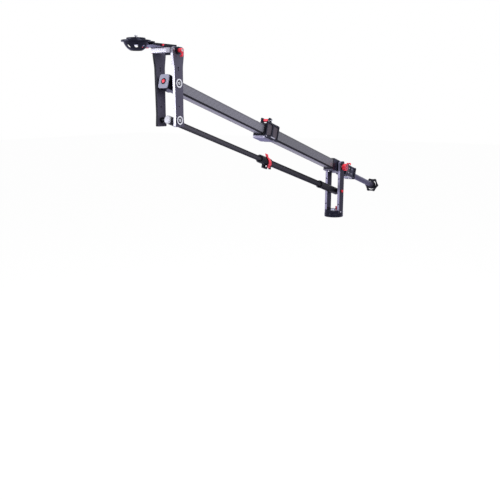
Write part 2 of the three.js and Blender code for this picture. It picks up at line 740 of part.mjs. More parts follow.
// Middle clamp: two pocketed shells that close on the tubes, a base plate, a gasket and a lever bolt
function buildMidClamp() {
  const seam = midClampSlit / 2;
  const outline = roundedOutline([
    [midClampRear, -midClampBottom], [midClampFront, -midClampBottom],
    [midClampFront, midClampTop], [midClampRear, midClampTop],
  ], midClampEdge);
  const blank = plateY(outline, seam, midClampHalfWidth);
  const lug = box(lugPlace - lugLength / 2, lugPlace + lugLength / 2,
    lugFarOffset - lugThickness, lugFarOffset, 0, midClampTop + lugRise);
  const tubeHole = barX(square(rearTubeSize / 2 + fitGap, rearTubeCorner),
    midClampRear - cutOverrun, midTubeEnd + fitGap);
  const guideHole = barX(square(frontTubeSize / 2 + runGap, frontTubeCorner),
    midTubeEnd, midClampFront + cutOverrun);
  const boltHole = rodY(studRadius + fitGap, 0, midClampHalfWidth + cutOverrun,
    lugPlace, midBoltHeight(), smallSides);
  const pockets = pocketPair(midClampRear, midClampFront, -midClampBottom, midClampTop)
    .map((shape) => plateY(shape, midClampHalfWidth - pocketDepth, midClampHalfWidth + cutOverrun));
  const deckCut = box(midClampRear - cutOverrun, midClampFront + cutOverrun, 0, midWallInner,
    midDeckHeight, midClampTop + cutOverrun);
  const shell = cut(join(cut(blank, deckCut), lug), tubeHole, guideHole, boltHole, ...pockets);
  addPart(upperArm, 'mid_clamp_shell_left', shell, blackMetal());
  addPart(upperArm, 'mid_clamp_shell_right', shell.mirror([0, 1, 0]), blackMetal());

  const plateTop = -midClampBottom - fitGap;
  const plate = box(midClampFront - midPlateLength, midClampFront, -midPlateHalfWidth, midPlateHalfWidth,
    plateTop - midPlateThickness, plateTop);
  addPart(upperArm, 'mid_clamp_base_plate', plate, greyMetal());

  const gasketRear = midClampFront + fitGap;
  const gasket = barX(square(gasketHalfSize, rearTubeCorner), gasketRear, gasketRear + gasketThickness);
  const gasketHole = barX(square(frontTubeSize / 2 + runGap, frontTubeCorner),
    midClampFront, gasketRear + gasketThickness + cutOverrun);
  addPart(upperArm, 'mid_clamp_gasket', cut(gasket, gasketHole), plastic());

  const boltEnd = lugFarOffset + fitGap;
  const boltRod = (radius, y0, y1) => rodY(radius, y0, y1, lugPlace, midBoltHeight(), smallSides);
  const stem = boltRod(studRadius, -boltEnd, boltEnd);
  const ends = bothSides(solidOf(boltRod(midBoltHeadRadius, boltEnd, boltEnd + midBoltHeadHeight)));
  const handle = turned(turned(clampLever(midLeverLength), -rightAngle, 0, 0), 0, -midLeverTurn, 0);
  const lever = moved(handle, lugPlace, -midLeverLength / 2, midBoltHeight());
  addPart(upperArm, 'mid_clamp_lever', join(lever, stem, ends), redMetal());
}
function midBoltHeight() {
  return midClampTop + lugRise - lugLength / 2;
}

// Rear clamp: two pocketed side plates on the neck, a split collar for the bar, an end frame and a lever
function buildRearClamp() {
  const inner = neckHalfWidth + fitGap;
  const outline = roundedOutline([
    [-rearClampRear, -rearClampBottom], [-rearClampFront, -rearClampBottom],
    [-rearClampFront, rearClampTop], [-rearClampRear, rearClampTop],
  ], midClampEdge);
  const pockets = pocketPair(-rearClampRear, -rearClampFront, -rearClampBottom, rearClampTop)
    .map((shape) => plateY(shape, rearClampOuter - pocketDepth, rearClampOuter + cutOverrun));
  const side = cut(plateY(outline, inner, rearClampOuter), ...pockets);
  addPart(upperArm, 'rear_clamp_side_left', side, blackMetal());
  addPart(upperArm, 'rear_clamp_side_right', side.mirror([0, 1, 0]), blackMetal());

  const collarFront = -rearClampRear + rearCollarLength;
  const collarTop = rearClampTop;
  const body = box(-rearClampRear, collarFront, -neckHalfWidth, neckHalfWidth, -rearClampBottom, collarTop);
  const bore = rodX(barRadius + runGap, -rearClampRear - cutOverrun, collarFront + cutOverrun);
  const slit = box(-rearClampRear - cutOverrun, collarFront + cutOverrun,
    -rearCollarSlit / 2, rearCollarSlit / 2, 0, collarTop - rearStudDepth);
  const studHole = rodZ(studRadius + fitGap, collarTop - rearStudDepth - cutOverrun, collarTop + cutOverrun,
    rearStudPlace(), 0, smallSides);
  addPart(upperArm, 'rear_clamp_collar', cut(body, bore, slit, studHole), blackMetal());

  const frameFront = -rearClampRear - fitGap;
  const frame = barX(roundedRect(-rearFrameHalfWidth, rearFrameHalfWidth,
    -rearClampBottom - rearFrameRise, rearClampTop + rearFrameRise, midClampEdge),
    frameFront - rearFrameThickness, frameFront);
  const frameHole = rodX(barRadius + runGap, frameFront - rearFrameThickness - cutOverrun,
    frameFront + cutOverrun);
  addPart(upperArm, 'rear_clamp_end_frame', cut(frame, frameHole), blackMetal());

  const plateTop = -rearClampBottom - fitGap;
  const plateBottom = plateTop - rearPlateThickness;
  const plateMiddle = -(rearClampFront + rearClampRear) / 2;
  const plate = box(plateMiddle - rearPlateLength / 2, plateMiddle + rearPlateLength / 2,
    -rearClampOuter, rearClampOuter, plateBottom, plateTop);
  const screwY = (neckHalfWidth + rearClampOuter) / 2;
  const plateHole = rodZ(armScrewRadius + fitGap, plateBottom - cutOverrun, plateTop + cutOverrun,
    plateMiddle, screwY, smallSides);
  addPart(upperArm, 'rear_clamp_base_plate', cut(plate, plateHole), greyMetal());
  addPlateScrew('rear_plate_screw', plateMiddle, screwY, plateBottom, rearPlateThickness + fitGap);

  const lever = turned(leverWithStud(leverBossLength, rearStudDepth), 0, 0, rearLeverTurn);
  addPart(upperArm, 'rear_clamp_lever', moved(lever, rearStudPlace(), 0, collarTop + fitGap), redMetal());
}
function rearStudPlace() {
  return -rearClampRear + rearCollarLength - washerRadius;
}

// Counterweight bar with its hand wheel
function buildWeightBar() {
  const tube = rodX(barRadius, -barRear, -barFront);
  const bore = rodX(barRadius - barWall, -barRear - cutOverrun, -barFront + cutOverrun);
  addPart(upperArm, 'weight_bar', cut(tube, bore), greyMetal());

  const rear = -stopPlace - stopThickness / 2;
  const front = -stopPlace + stopThickness / 2;
  const rimRoom = rodX(stopRimRadius - stopRimWidth, rear - cutOverrun, front + cutOverrun);
  const rim = cut(rodX(stopRimRadius, rear, front), rimRoom);
  const hub = rodX(stopHubRadius, rear, front);
  const spokes = [];
  for (let i = 0; i < stopSpokes; i++) {
    const spoke = box(rear, front, -stopSpokeWidth / 2, stopSpokeWidth / 2,
      0, stopRimRadius - stopRimWidth / 2);
    spokes.push(turned(solidOf(spoke), (i * fullTurn) / stopSpokes, 0, 0));
  }
  const lobes = [];
  for (let i = 0; i < stopLobes; i++) {
    const angle = (i / stopLobes) * Math.PI * 2;
    const [y, z] = [stopRimRadius * Math.cos(angle), stopRimRadius * Math.sin(angle)];
    lobes.push(rodX(stopLobeRadius, rear, front, y, z, smallSides));
  }
  const hole = rodX(barRadius + fitGap, rear - cutOverrun, front + cutOverrun);
  addPart(upperArm, 'bar_hand_wheel', cut(join(rim, hub, ...spokes, ...lobes), hole), plastic());
}

// Front block in the end of the upper arm, with its pale cap and red button
function buildArmFront() {
  const rear = armLength - frontBlockBack;
  const front = armLength + frontBlockReach;
  const sectionWith = (corner) => roundedRect(-frontBlockHalfWidth, frontBlockHalfWidth,
    -frontBlockHalfHeight, frontBlockHalfHeight, corner);
  const spigotHalf = frontTubeSize / 2 - frontTubeWall - fitGap;
  const spigot = barX(square(spigotHalf, frontTubeCorner - frontTubeWall / 2),
    rear - frontSpigotLength, rear + cutOverrun);
  const hubs = rodY(headSpacerRadius, fitGap - headInner, headInner - fitGap, armLength, 0);
  const pivot = rodY(headAxleRadius + runGap, -headInner - cutOverrun, headInner + cutOverrun, armLength, 0);
  const body = barX(sectionWith(frontTubeCorner), rear, front);
  addPart(upperArm, 'arm_front_block', cut(join(body, spigot, hubs), pivot), blackMetal());

  const capRear = front + fitGap;
  const capFront = capRear + frontCapThickness;
  const capHole = rodX(buttonRadius + fitGap, capRear - cutOverrun, capFront + cutOverrun);
  const cap = barX(sectionWith(frontCapCorner), capRear, capFront);
  addPart(upperArm, 'arm_front_cap', cut(cap, capHole), palePlastic());
  addPart(upperArm, 'arm_front_button', rodX(buttonRadius, capRear, capFront + buttonRise), redMetal());
}

// Lower arm: coupling at the yoke and two round tubes, one inside the other
function buildLowerArm() {
  const sleeve = rodX(couplingRadius, -couplingRear, couplingFront);
  const lip = rodX(couplingRadius + couplingLipRise, couplingFront - couplingLipLength, couplingFront);
  const sleeveBore = rodX(lowerRearRadius + fitGap, couplingBoreStart, couplingFront + cutOverrun);
  const hubs = rodY(bushRadius, fitGap - yokeInner, yokeInner - fitGap);
  const pivot = rodY(lowerAxleRadius + runGap, -yokeInner - cutOverrun, yokeInner + cutOverrun);
  addPart(lowerArm, 'lower_coupling', cut(join(sleeve, lip, hubs), sleeveBore, pivot), plastic());

  const rear = roundTube(lowerRearRadius, lowerRearWall, couplingBoreStart + fitGap, lowerClampStep);
  addPart(lowerArm, 'lower_tube_rear', rear, carbon());
  const frontEnd = armLength - fittingBack + frontSpigotStart();
  const front = roundTube(lowerFrontRadius, lowerFrontWall, tubeOverlapEnd, frontEnd);
  addPart(lowerArm, 'lower_tube_front', front, carbon());
  buildLowerClamp();
}

function roundTube(radius, wall, x0, x1) {
  return cut(rodX(radius, x0, x1), rodX(radius - wall, x0 - cutOverrun, x1 + cutOverrun));
}

// Split collar that locks the round telescope, closed by a flip lever on a hinge pin
function buildLowerClamp() {
  const collar = rodX(lowerClampRadius, lowerClampRear, lowerClampFront);
  const tubeHole = rodX(lowerRearRadius + fitGap, lowerClampRear - cutOverrun, lowerClampStep + fitGap);
  const guideHole = rodX(lowerFrontRadius + runGap, lowerClampStep, lowerClampFront + cutOverrun);
  const eyeStart = lowerClampRear + flipLugLength + fitGap;
  const eyeEnd = eyeStart + flipEyeLength;
  const lugsEnd = eyeEnd + fitGap + flipLugLength;
  const lugInner = flipPinAside - flipEyeRadius;
  const lugOuter = flipPinAside + flipEyeRadius;
  const lugBottom = -flipPinDrop - flipEyeRadius - flipLugEdge;
  const eyeRoom = box(eyeStart - fitGap, eyeEnd + fitGap, lugInner - cutOverrun, lugOuter + cutOverrun,
    lugBottom - cutOverrun, cutOverrun);
  const nearLugs = cut(box(lowerClampRear, lugsEnd, lugInner, lugOuter, lugBottom, 0), eyeRoom);
  const farLug = box(lowerClampRear, lugsEnd, -lugOuter, -lugInner, lugBottom, 0);
  const slit = box(lowerClampRear - cutOverrun, lugsEnd, -lowerClampSlit / 2, lowerClampSlit / 2,
    -lowerClampRadius - cutOverrun, 0);
  const pin = (radius, x0, x1) => rodX(radius, x0, x1, flipPinAside, -flipPinDrop, smallSides);
  const pinHole = pin(flipPinRadius + fitGap, lowerClampRear - cutOverrun, lugsEnd + cutOverrun);
  const body = cut(join(collar, nearLugs, farLug), tubeHole, guideHole, slit, pinHole);
  addPart(lowerArm, 'lower_clamp_collar', body, plastic());
  addPart(lowerArm, 'lower_clamp_pin', pin(flipPinRadius, lowerClampRear, lugsEnd), steel());
  const eye = pin(flipEyeRadius, eyeStart, eyeEnd);
  addPart(lowerArm, 'lower_clamp_lever', cut(flipLever(eye, eyeStart, eyeEnd), pinHole), redMetal());
}

// Flip lever: its eye, a root beside the collar, and a curved band that slants forward to the tip
function flipLever(eye, eyeStart, eyeEnd) {
  const inner = lowerClampRadius + runGap;
  const rootShape = ringSector(inner, flipRootAngle, flipBandAngle + flipRootOverlapAngle, 0);
  const root = barX(rootShape, eyeStart, eyeEnd);
  const bandFoot = inner * Math.sin(THREE.MathUtils.degToRad(flipBandAngle));
  const shear = new THREE.Matrix4().makeShear(0, 0, 0, 0, flipSlantShare, 0);
  const bandShape = ringSector(inner, flipBandAngle, flipTipAngle, flipTipReach);
  const band = barX(bandShape, eyeStart, eyeEnd).translate(0, 0, -bandFoot);
  band.applyMatrix4(shear).translate(0, 0, bandFoot);
  return join(eye, root, band);
}

// An outline in (y, z) between two angles around a round collar, its far end drawn out straight up
function ringSector(inner, from, to, tipReach) {
  const place = (radius, step) => {
    const angle = THREE.MathUtils.degToRad(from + ((to - from) * step) / flipSectorSteps);
    return [radius * Math.cos(angle), radius * Math.sin(angle)];
  };
  const outer = inner + flipLeverThickness;
  const outline = new THREE.Shape();
  outline.moveTo(...place(inner, 0));
  for (let i = 0; i <= flipSectorSteps; i++) outline.lineTo(...place(outer, i));
  if (tipReach > 0) {
    const [tipY, tipZ] = place(inner, flipSectorSteps);
    outline.lineTo(tipY + flipLeverThickness, tipZ + tipReach);
    outline.lineTo(tipY, tipZ + tipReach);
  }
  for (let i = flipSectorSteps; i > 0; i--) outline.lineTo(...place(inner, i));
  outline.closePath();
  return outline;
}

// Round fitting in the front of the lower arm, which turns on the head's lower axle
function buildLowerFitting() {
  const rear = armLength - fittingBack;
  const front = armLength + fittingReach;
  const length = front - rear;
  const body = lathe([
    [0, 0], [fittingRadius, 0], [fittingRadius, length - fittingEdge],
    [fittingRadius - fittingEdge, length], [0, length],
  ]).rotateY(quarterTurn).translate(rear, 0, 0);
  const socket = rodX(lowerFrontRadius + fitGap, rear - cutOverrun, rear + frontSpigotStart() + fitGap);
  const hubs = rodY(headSpacerRadius, fitGap - headInner, headInner - fitGap, armLength, 0);
  const cross = rodY(headAxleRadius + runGap, -headInner - cutOverrun, headInner + cutOverrun, armLength, 0);
  addPart(lowerArm, 'lower_front_fitting', cut(join(body, hubs), socket, cross), plastic());
}
function frontSpigotStart() {
  return fittingBack - headAxleRadius * 2;
}

// Camera head: two upright plates on the arms' front pivots
function buildHead() {
  const outline = roundedOutline([
    [-headFootHalf, -headBottomDrop], [headFootHalf, -headBottomDrop], [headFootHalf, -headFootDrop],
    [headWaistHalf, -headWaistHeight], [headShoulderHalf, headShoulderHeight],
    [headFlareHalf, headFlareHeight], [headFlareHalf, headTop], [-headFlareHalf, headTop],
    [-headFlareHalf, headFlareHeight], [-headShoulderHalf, headShoulderHeight],
    [-headWaistHalf, -headWaistHeight], [-headFootHalf, -headFootDrop],
  ], headFootRadius);
  const [cornerX, cornerZ] = [headFlareHalf - headCornerRadius, headTop - headCornerRadius];
  const cornerBox = box(cornerX, headFlareHalf + cutOverrun, headInner - cutOverrun, headOuter + cutOverrun,
    cornerZ, headTop + cutOverrun);
  const corners = cut(cornerBox, rodY(headCornerRadius, headInner - cutOverrun * 2, headOuter + cutOverrun * 2,
    cornerX, cornerZ));
  const blank = cut(plateY(outline, headInner, headOuter), corners, corners.mirror([1, 0, 0]));
  const boreY = (radius, x, z) => rodY(radius, headInner - cutOverrun, headOuter + cutOverrun,
    x, z, smallSides);
  const holes = [
    boreY(headAxleRadius + fitGap, -headForward, 0),
    boreY(headAxleRadius + fitGap, -headForward, -pivotSpacing),
    boreY(tiltBoltRadius + fitGap, tiltPivotForward - headForward, tiltPivotRise),
    boreY(headHoleRadius, -headForward, headUpperHole),
    boreY(headHoleRadius, -headForward, headUpperHole - headHoleSpacing),
    boreY(headHoleRadius, -headForward, -headLowerHole),
  ];
  const left = moved(cut(blank, ...holes), headForward, 0, 0);
  addPart(head, 'head_plate_left', left, greyMetal());
  addPart(head, 'head_plate_right', left.mirror([0, 1, 0]), greyMetal());

  addHeadAxle('head_upper_axle', 0);
  addHeadAxle('head_lower_axle', -pivotSpacing);
}

// An axle across the head with a dished ring and a socket at each end
function addHeadAxle(name, z) {
  const ringEnd = headOuter + fitGap + headRingThickness;
  const stem = rodY(headAxleRadius, -headOuter - fitGap, headOuter + fitGap, 0, z, smallSides);
  const ring = rodY(headRingRadius, headOuter, ringEnd, 0, z);
  const dish = ringY(headDishRadius, headAxleEndRadius, ringEnd - headRingStep, ringEnd + cutOverrun, 0, z);
  const socket = rodY(socketRadius, ringEnd - socketDepth, ringEnd + cutOverrun, 0, z, hexSides);
  const nearer = rodY(headRingRadius + cutOverrun, headOuter - cutOverrun, headOuter + fitGap, 0, z);
  const end = cut(ring, dish, socket, nearer);
  const linked = join(end, rodY(headAxleRadius, headOuter, ringEnd - socketDepth, 0, z, smallSides));
  addPart(head, name, join(stem, bothSides(linked)), palePlastic());
}

// Camera platform: hinge block, pocketed plate, tilt bolt with two levers, and the plate latch
function buildPlatform() {
  const hinge = roundedRect(-hingeBlockRear, hingeBlockFront,
    tiltPivotRise - hingeBlockHalfHeight, tiltPivotRise + hingeBlockHalfHeight, hingeBlockEdge);
  const bore = rodY(tiltBoltRadius + fitGap, -headInner, headInner,
    tiltPivotForward, tiltPivotRise, smallSides);
  const block = plateY(hinge, -platformHalfWidth, platformHalfWidth);
  addPart(head, 'platform_hinge_block', cut(block, bore), greyMetal());

  const side = new THREE.Shape();
  side.moveTo(-platformRear, platformBase);
  side.lineTo(platformTaperStart, platformBase);
  side.lineTo(platformFront, platformTop - platformFrontThickness);
  side.lineTo(platformFront, platformTop);
  side.lineTo(-platformRear, platformTop);
  side.closePath();
  const pockets = pocketPair(-platformRear, platformPocketFront, -platformHalfWidth, platformHalfWidth)
    .map((shape) => plateZ(shape, platformTop - platformPocketDepth, platformTop + cutOverrun));
  const pinPlace = platformHalfWidth - platformPinInset;
  const pins = [-pinPlace, pinPlace].map((y) => rodZ(platformPinRadius, platformTop - platformPocketDepth,
    platformTop + cutOverrun, platformPinInset - platformRear, y, hexSides));
  const seatHalf = latchLength / 2 + fitGap;
  const edge = platformHalfWidth + cutOverrun;
  const seat = box(latchPlace - seatHalf, latchPlace + seatHalf, -edge, -platformHalfWidth + latchInset,
    platformBase - cutOverrun, platformTop + cutOverrun);
  const latchBore = rodY(studRadius + fitGap, -edge, edge, latchPlace, latchBoltHeight(), smallSides);
  const latchScrewHoles = latchScrewPlaces().map((x) => rodY(armScrewRadius / 2 + fitGap, -platformHalfWidth,
    -platformHalfWidth + latchInset * 2, x, latchBoltHeight(), hexSides));
  addPart(head, 'camera_platform', cut(plateY(side, -platformHalfWidth, platformHalfWidth),
    ...pockets, ...pins, seat, latchBore, ...latchScrewHoles), blackMetal());

  const leverBase = headOuter + tiltWasherThickness + fitGap * 2;
  const endLength = leverBase + leverBossLength - leverHeadDepth + fitGap;
  const shaftEnd = endLength + leverHeadDepth * capShare;
  const shaft = rodY(tiltBoltRadius, -shaftEnd, shaftEnd, 0, 0, smallSides);
  const cap = moved(turned(leverHead(leverBossLength), -rightAngle, 0, 0), 0, leverBase, 0);
  const washer = rodY(tiltWasherRadius, headOuter + fitGap, headOuter + fitGap + tiltWasherThickness, 0, 0);
  const bolt = join(shaft, bothSides(join(cap, washer)));
  addPart(head, 'tilt_bolt', moved(bolt, tiltPivotForward, 0, tiltPivotRise), steel());

  const bored = boredLever(leverBossLength, tiltLeverReach);
  const lever = turned(turned(bored, -rightAngle, 0, 0), 0, tiltLeverTurn, 0);
  const left = moved(lever, tiltPivotForward, leverBase, tiltPivotRise);
  addPart(head, 'tilt_lever_left', left, redMetal());
  addPart(head, 'tilt_lever_right', left.mirror([0, 1, 0]), redMetal());

  buildLatch();
}
function latchBoltHeight() {
  return (platformTop + platformBase) / 2 + fitGap;
}
function latchScrewPlaces() {
  return [latchPlace - latchScrewSpacing / 2, latchPlace + latchScrewSpacing / 2];
}

function buildLatch() {
  const back = -platformHalfWidth + latchInset - fitGap;
  const face = -platformHalfWidth - latchReach;
  const block = box(latchPlace - latchLength / 2, latchPlace + latchLength / 2, face, back,
    platformTop - latchHeight, platformTop);
  const boreAt = (radius, x, sides) => rodY(radius, face - cutOverrun, back + cutOverrun,
    x, latchBoltHeight(), sides);
  const bore = boreAt(studRadius + fitGap, latchPlace, smallSides);
  const screwHoles = latchScrewPlaces().map((x) => boreAt(armScrewRadius / 2 + fitGap, x, hexSides));
  addPart(head, 'latch_block', cut(block, bore, ...screwHoles), blackMetal());

  const knobStart = platformHalfWidth + fitGap;
  const rodAt = (radius, y0, y1) => rodY(radius, y0, y1, latchPlace, latchBoltHeight(), smallSides);
  const shaft = rodAt(studRadius, face, knobStart + fitGap);
  const knob = rodAt(latchKnobRadius, knobStart, knobStart + latchKnobLength);
  const upright = leverWithStud(leverBossLength, latchReach, latchLeverReach);
  const lever = turned(turned(upright, rightAngle, 0, 0), 0, latchLeverTurn, 0);
  const placed = moved(lever, latchPlace, face - fitGap, latchBoltHeight());
  addPart(head, 'latch_lever', join(placed, shaft, knob), redMetal());

  const screwUp = socketScrew(armScrewHeadRadius, armScrewHeadHeight, armScrewRadius / 2, latchInset * 2);
  const screw = turned(screwUp, rightAngle, 0, 0);
  const [rearX, frontX] = latchScrewPlaces();
  addPart(head, 'latch_screw_rear', moved(screw, rearX, face - fitGap, latchBoltHeight()), steel());
  addPart(head, 'latch_screw_front', moved(screw, frontX, face - fitGap, latchBoltHeight()), steel());
}

// Levelling bowl on the platform's front edge, with the ball plate and camera screw that sit in it
function buildBowl() {
  const outerRadius = bowlSphereRadius + bowlWall;
  const centre = flangeTop + bowlSphereRise;
  const floor = flangeBase - bowlDepth;
  const arc = (radius, top) => {
    const points = [];
    const from = Math.acos((centre - floor) / radius);
    const to = Math.acos((centre - top) / radius);
    for (let i = 0; i <= bowlProfileSteps; i++) {
      const angle = from + ((to - from) * i) / bowlProfileSteps;
      points.push([radius * Math.sin(angle), centre - radius * Math.cos(angle)]);
    }
    return points;
  };
  const outer = arc(outerRadius, flangeBase);
  const inner = arc(bowlSphereRadius, flangeTop);
  const flange = [[bowlFlangeRadius, flangeBase], [bowlFlangeRadius, flangeTop]];
  const profile = [...outer, ...flange, ...inner.reverse(), outer[0]];
  const tongue = box(tongueRear - bowlForward, -outerRadius, -tongueHalfWidth, tongueHalfWidth,
    flangeBase, flangeTop);
  const windows = [];
  for (let i = 0; i < bowlWindows; i++) {
    const window = rodX(bowlWindowRadius, 0, bowlFlangeRadius, 0, flangeBase - bowlWindowDrop, smallSides);
    windows.push(turned(solidOf(window), 0, 0, ((i + windowTurnShare) * fullTurn) / bowlWindows));
  }
  const bowl = cut(join(lathe(profile), tongue), ...windows);
  addPart(head, 'camera_bowl', moved(bowl, bowlForward, 0, 0), blackMetal());

  const seatRadius = bowlSphereRadius - ballGap;
  const seatPoints = [];
  for (let i = 0; i <= bowlProfileSteps; i++) {
    const height = flangeTop - ballSeatDepth + (ballSeatDepth * i) / bowlProfileSteps;
    seatPoints.push([Math.sqrt(seatRadius ** 2 - (centre - height) ** 2), height]);
  }
  const plateTop = flangeTop + ballPlateThickness;
  const bore = cameraScrewRadius + fitGap;
  const low = flangeTop - ballSeatDepth;
  const ball = lathe([
    [bore, low], ...seatPoints, [ballPlateRadius, flangeTop], [ballPlateRadius, plateTop],
    [bore, plateTop], [bore, low],
  ]);
  addPart(head, 'levelling_ball', moved(solidOf(ball), bowlForward, 0, 0), blackMetal());

  const screwHead = low - fitGap - cameraScrewHeadHeight;
  const stud = rodZ(cameraScrewRadius, screwHead, plateTop + cameraScrewRise);
  const screw = join(stud, rodZ(cameraScrewHeadRadius, screwHead, low - fitGap));
  addPart(head, 'camera_screw', moved(screw, bowlForward, 0, 0), steel());
}

buildPanBase();
buildYoke();
buildJointBlock();
buildArmTubes();
buildMidClamp();
buildRearClamp();
buildWeightBar();
buildArmFront();
buildLowerArm();
buildLowerFitting();
buildHead();
buildPlatform();
buildBowl();

export default jib;
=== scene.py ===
"""Looks of a camera jib crane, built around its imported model."""
import json

import bmesh
import bpy
import numpy as np
from bpy.props import FloatProperty, FloatVectorProperty, PointerProperty
from mathutils import Matrix, Vector
from mathutils.geometry import tessellate_polygon

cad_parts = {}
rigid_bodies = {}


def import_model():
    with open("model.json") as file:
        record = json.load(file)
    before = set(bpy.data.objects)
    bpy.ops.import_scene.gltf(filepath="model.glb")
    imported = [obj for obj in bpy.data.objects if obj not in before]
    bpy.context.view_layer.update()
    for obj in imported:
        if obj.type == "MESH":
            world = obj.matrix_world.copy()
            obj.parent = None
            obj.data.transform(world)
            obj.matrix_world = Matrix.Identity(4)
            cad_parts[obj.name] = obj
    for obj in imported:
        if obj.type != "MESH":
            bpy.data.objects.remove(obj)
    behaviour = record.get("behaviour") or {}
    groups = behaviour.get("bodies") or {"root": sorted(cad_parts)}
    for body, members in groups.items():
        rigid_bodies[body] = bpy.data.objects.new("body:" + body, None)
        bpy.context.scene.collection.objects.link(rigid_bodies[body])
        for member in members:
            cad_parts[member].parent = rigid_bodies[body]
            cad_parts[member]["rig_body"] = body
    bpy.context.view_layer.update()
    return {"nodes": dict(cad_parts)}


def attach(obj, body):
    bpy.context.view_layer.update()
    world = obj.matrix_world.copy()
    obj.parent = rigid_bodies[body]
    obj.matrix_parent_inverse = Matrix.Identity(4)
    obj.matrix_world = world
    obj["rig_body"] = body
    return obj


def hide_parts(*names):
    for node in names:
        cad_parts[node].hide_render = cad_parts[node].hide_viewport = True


bl_info = {
    "name": "Camera jib crane",
    "version": (1, 0, 0),
    "blender": (4, 5, 0),
    "location": "3D View > Sidebar > Jib",
    "description": "Builds the visible pieces and finishes of a telescoping camera jib crane",
    "category": "Object",
}

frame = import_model()

MM = 0.001
TAU = 2 * np.pi
JOIN_DISTANCE = 0.002 * MM
SMOOTH_ANGLE = np.radians(40)
FLAT_ANGLE = np.radians(1)
CORNER_STEPS = 4
EDGE_STEPS = 3
SIDES = 64
SMALL_SIDES = 32
HEX = 6
# Shortest length that is divided by, the most of a side that a corner's round takes, and the least that a
# corner's summed normals count, so that a sharp one isn't thrown far
TINY, MOST_OF_SIDE, LEAST_SUM = 1e-9, 0.45, 0.5

# The linkage's places, in millimetres and degrees, as in the model
ARM_LENGTH = 1294
PIVOT_SPACING = 120
UPPER_PIVOT = 250
LOWER_PIVOT = UPPER_PIVOT - PIVOT_SPACING
REST_TILT = 16.9
BOWL_REACH = 147
TILT_BOLT = (2, 104)

# Sizes that several pieces share, in millimetres
GAP = 0.3
HALF_HUB = 34.2
AXLE_FACE = 44.8
SHOE_CORNER = 2
POCKET_DEPTH = 3.4
LEVER_BOSS = 16
LEVER_WASHER = 1.2


def moved(x=0, y=0, z=0):
    return Matrix.Translation((x, y, z))


def turned(degrees, axis):
    return Matrix.Rotation(np.radians(degrees), 4, axis)


WORLD = Matrix.Identity(4)
UPPER = moved(z=UPPER_PIVOT) @ turned(-REST_TILT, "Y")
LOWER = moved(z=LOWER_PIVOT) @ turned(-REST_TILT, "Y")
HEAD = Matrix.Translation((UPPER @ moved(x=ARM_LENGTH)).to_translation())
MIRROR = Matrix.Scale(-1, 4, (0, 1, 0))
# A shape drawn up the Z axis, laid along another axis
ALONG_X = Matrix(((0, 0, 1, 0), (1, 0, 0, 0), (0, 1, 0, 0), (0, 0, 0, 1)))
ALONG_Y = turned(-90, "X")
ALONG_MINUS_Y = turned(90, "X")
DOWN = turned(180, "X")
# An outline in (x, z) whose thickness goes along +Y
UPRIGHT = Matrix(((1, 0, 0, 0), (0, 0, 1, 0), (0, 1, 0, 0), (0, 0, 0, 1)))


# Shapes: each is a list of skins, a skin being points, polygons and their corners' places on the skin.
# The lists of number pairs that the pieces give them are outlines and profiles in millimetres.


def skin(points, around=True, along=False, ends=False):
    """A grid of points as four-sided faces. around joins the last column to the first, along the last row
    to the first, and ends closes the first and last rows with one face each. A corner's place on the skin
    is (length along the rows, length round the longest row)."""
    rows, columns = points.shape[:2]
    i = np.arange(rows if along else rows - 1)[:, None]
    j = np.arange(columns if around else columns - 1)[None, :]
    steps = ((0, 0), (0, 1), (1, 1), (1, 0))
    quads = np.stack([(i + a) % rows * columns + (j + b) % columns for a, b in steps], -1)
    ahead = np.linalg.norm(np.roll(points, -1, 0) - points, axis=2).mean(1)
    beside = np.linalg.norm(np.roll(points, -1, 1) - points, axis=2)
    u = np.concatenate([[0], np.cumsum(ahead)])
    v = np.concatenate([[0], np.cumsum(beside[beside.sum(1).argmax()])])
    places = np.stack([np.stack(np.broadcast_arrays(u[i + a], v[j + b]), -1) for a, b in steps], -2)
    polygons = [(quads.reshape(-1, 4), places.reshape(-1, 4, 2))]
    if ends:
        ring = np.arange(columns)
        for face in (ring, ring + (rows - 1) * columns):
            polygons.append((face[None, :], np.zeros((1, columns, 2))))
    return points.reshape(-1, 3), polygons


def put(skins, place):
    """Skins with every point p taken to place p."""
    m = np.array(place)
    return [(points @ m[:3, :3].T + m[:3, 3], polygons) for points, polygons in skins]


def both_sides(skins):
    """Skins and their mirror image across the crane's middle plane."""
    return skins + put(skins, MIRROR)


def rounded(points, radius, closed=True):
    """An outline with its corners rounded: a and b lie a radius from the corner c on its two sides, within
    that side's own part, and the curve between them is (1 - t)^2 a + 2 t (1 - t) c + t^2 b."""
    corner = np.asarray(points, float)

    def reach(side):
        length = np.maximum(np.linalg.norm(side, axis=1), TINY)
        return corner + side * (np.minimum(radius, MOST_OF_SIDE * length) / length)[:, None]

    a, b = reach(np.roll(corner, 1, 0) - corner), reach(np.roll(corner, -1, 0) - corner)
    t = np.linspace(0, 1, CORNER_STEPS + 1)[:, None]
    curve = (1 - t) ** 2 * a[:, None] + 2 * t * (1 - t) * corner[:, None] + t**2 * b[:, None]
    if closed:
        return curve.reshape(-1, 2)
    return np.concatenate([corner[:1], curve[1:-1].reshape(-1, 2), corner[-1:]])


def rectangle(x0, x1, y0, y1, radius):
    return rounded([[x0, y0], [x1, y0], [x1, y1], [x0, y1]], radius)


def once_round(sides):
    """Angles of that many equal steps, once round."""
    return np.arange(sides) * TAU / sides


def polar(radius, angle):
    """Points (r cos a, r sin a)."""
    return np.stack([radius * np.cos(angle), radius * np.sin(angle)], -1)


def circle(radius, x=0, y=0, sides=SMALL_SIDES):
    """Points (x + r cos a, y + r sin a), with a going once round."""
    return polar(radius, once_round(sides)) + [x, y]


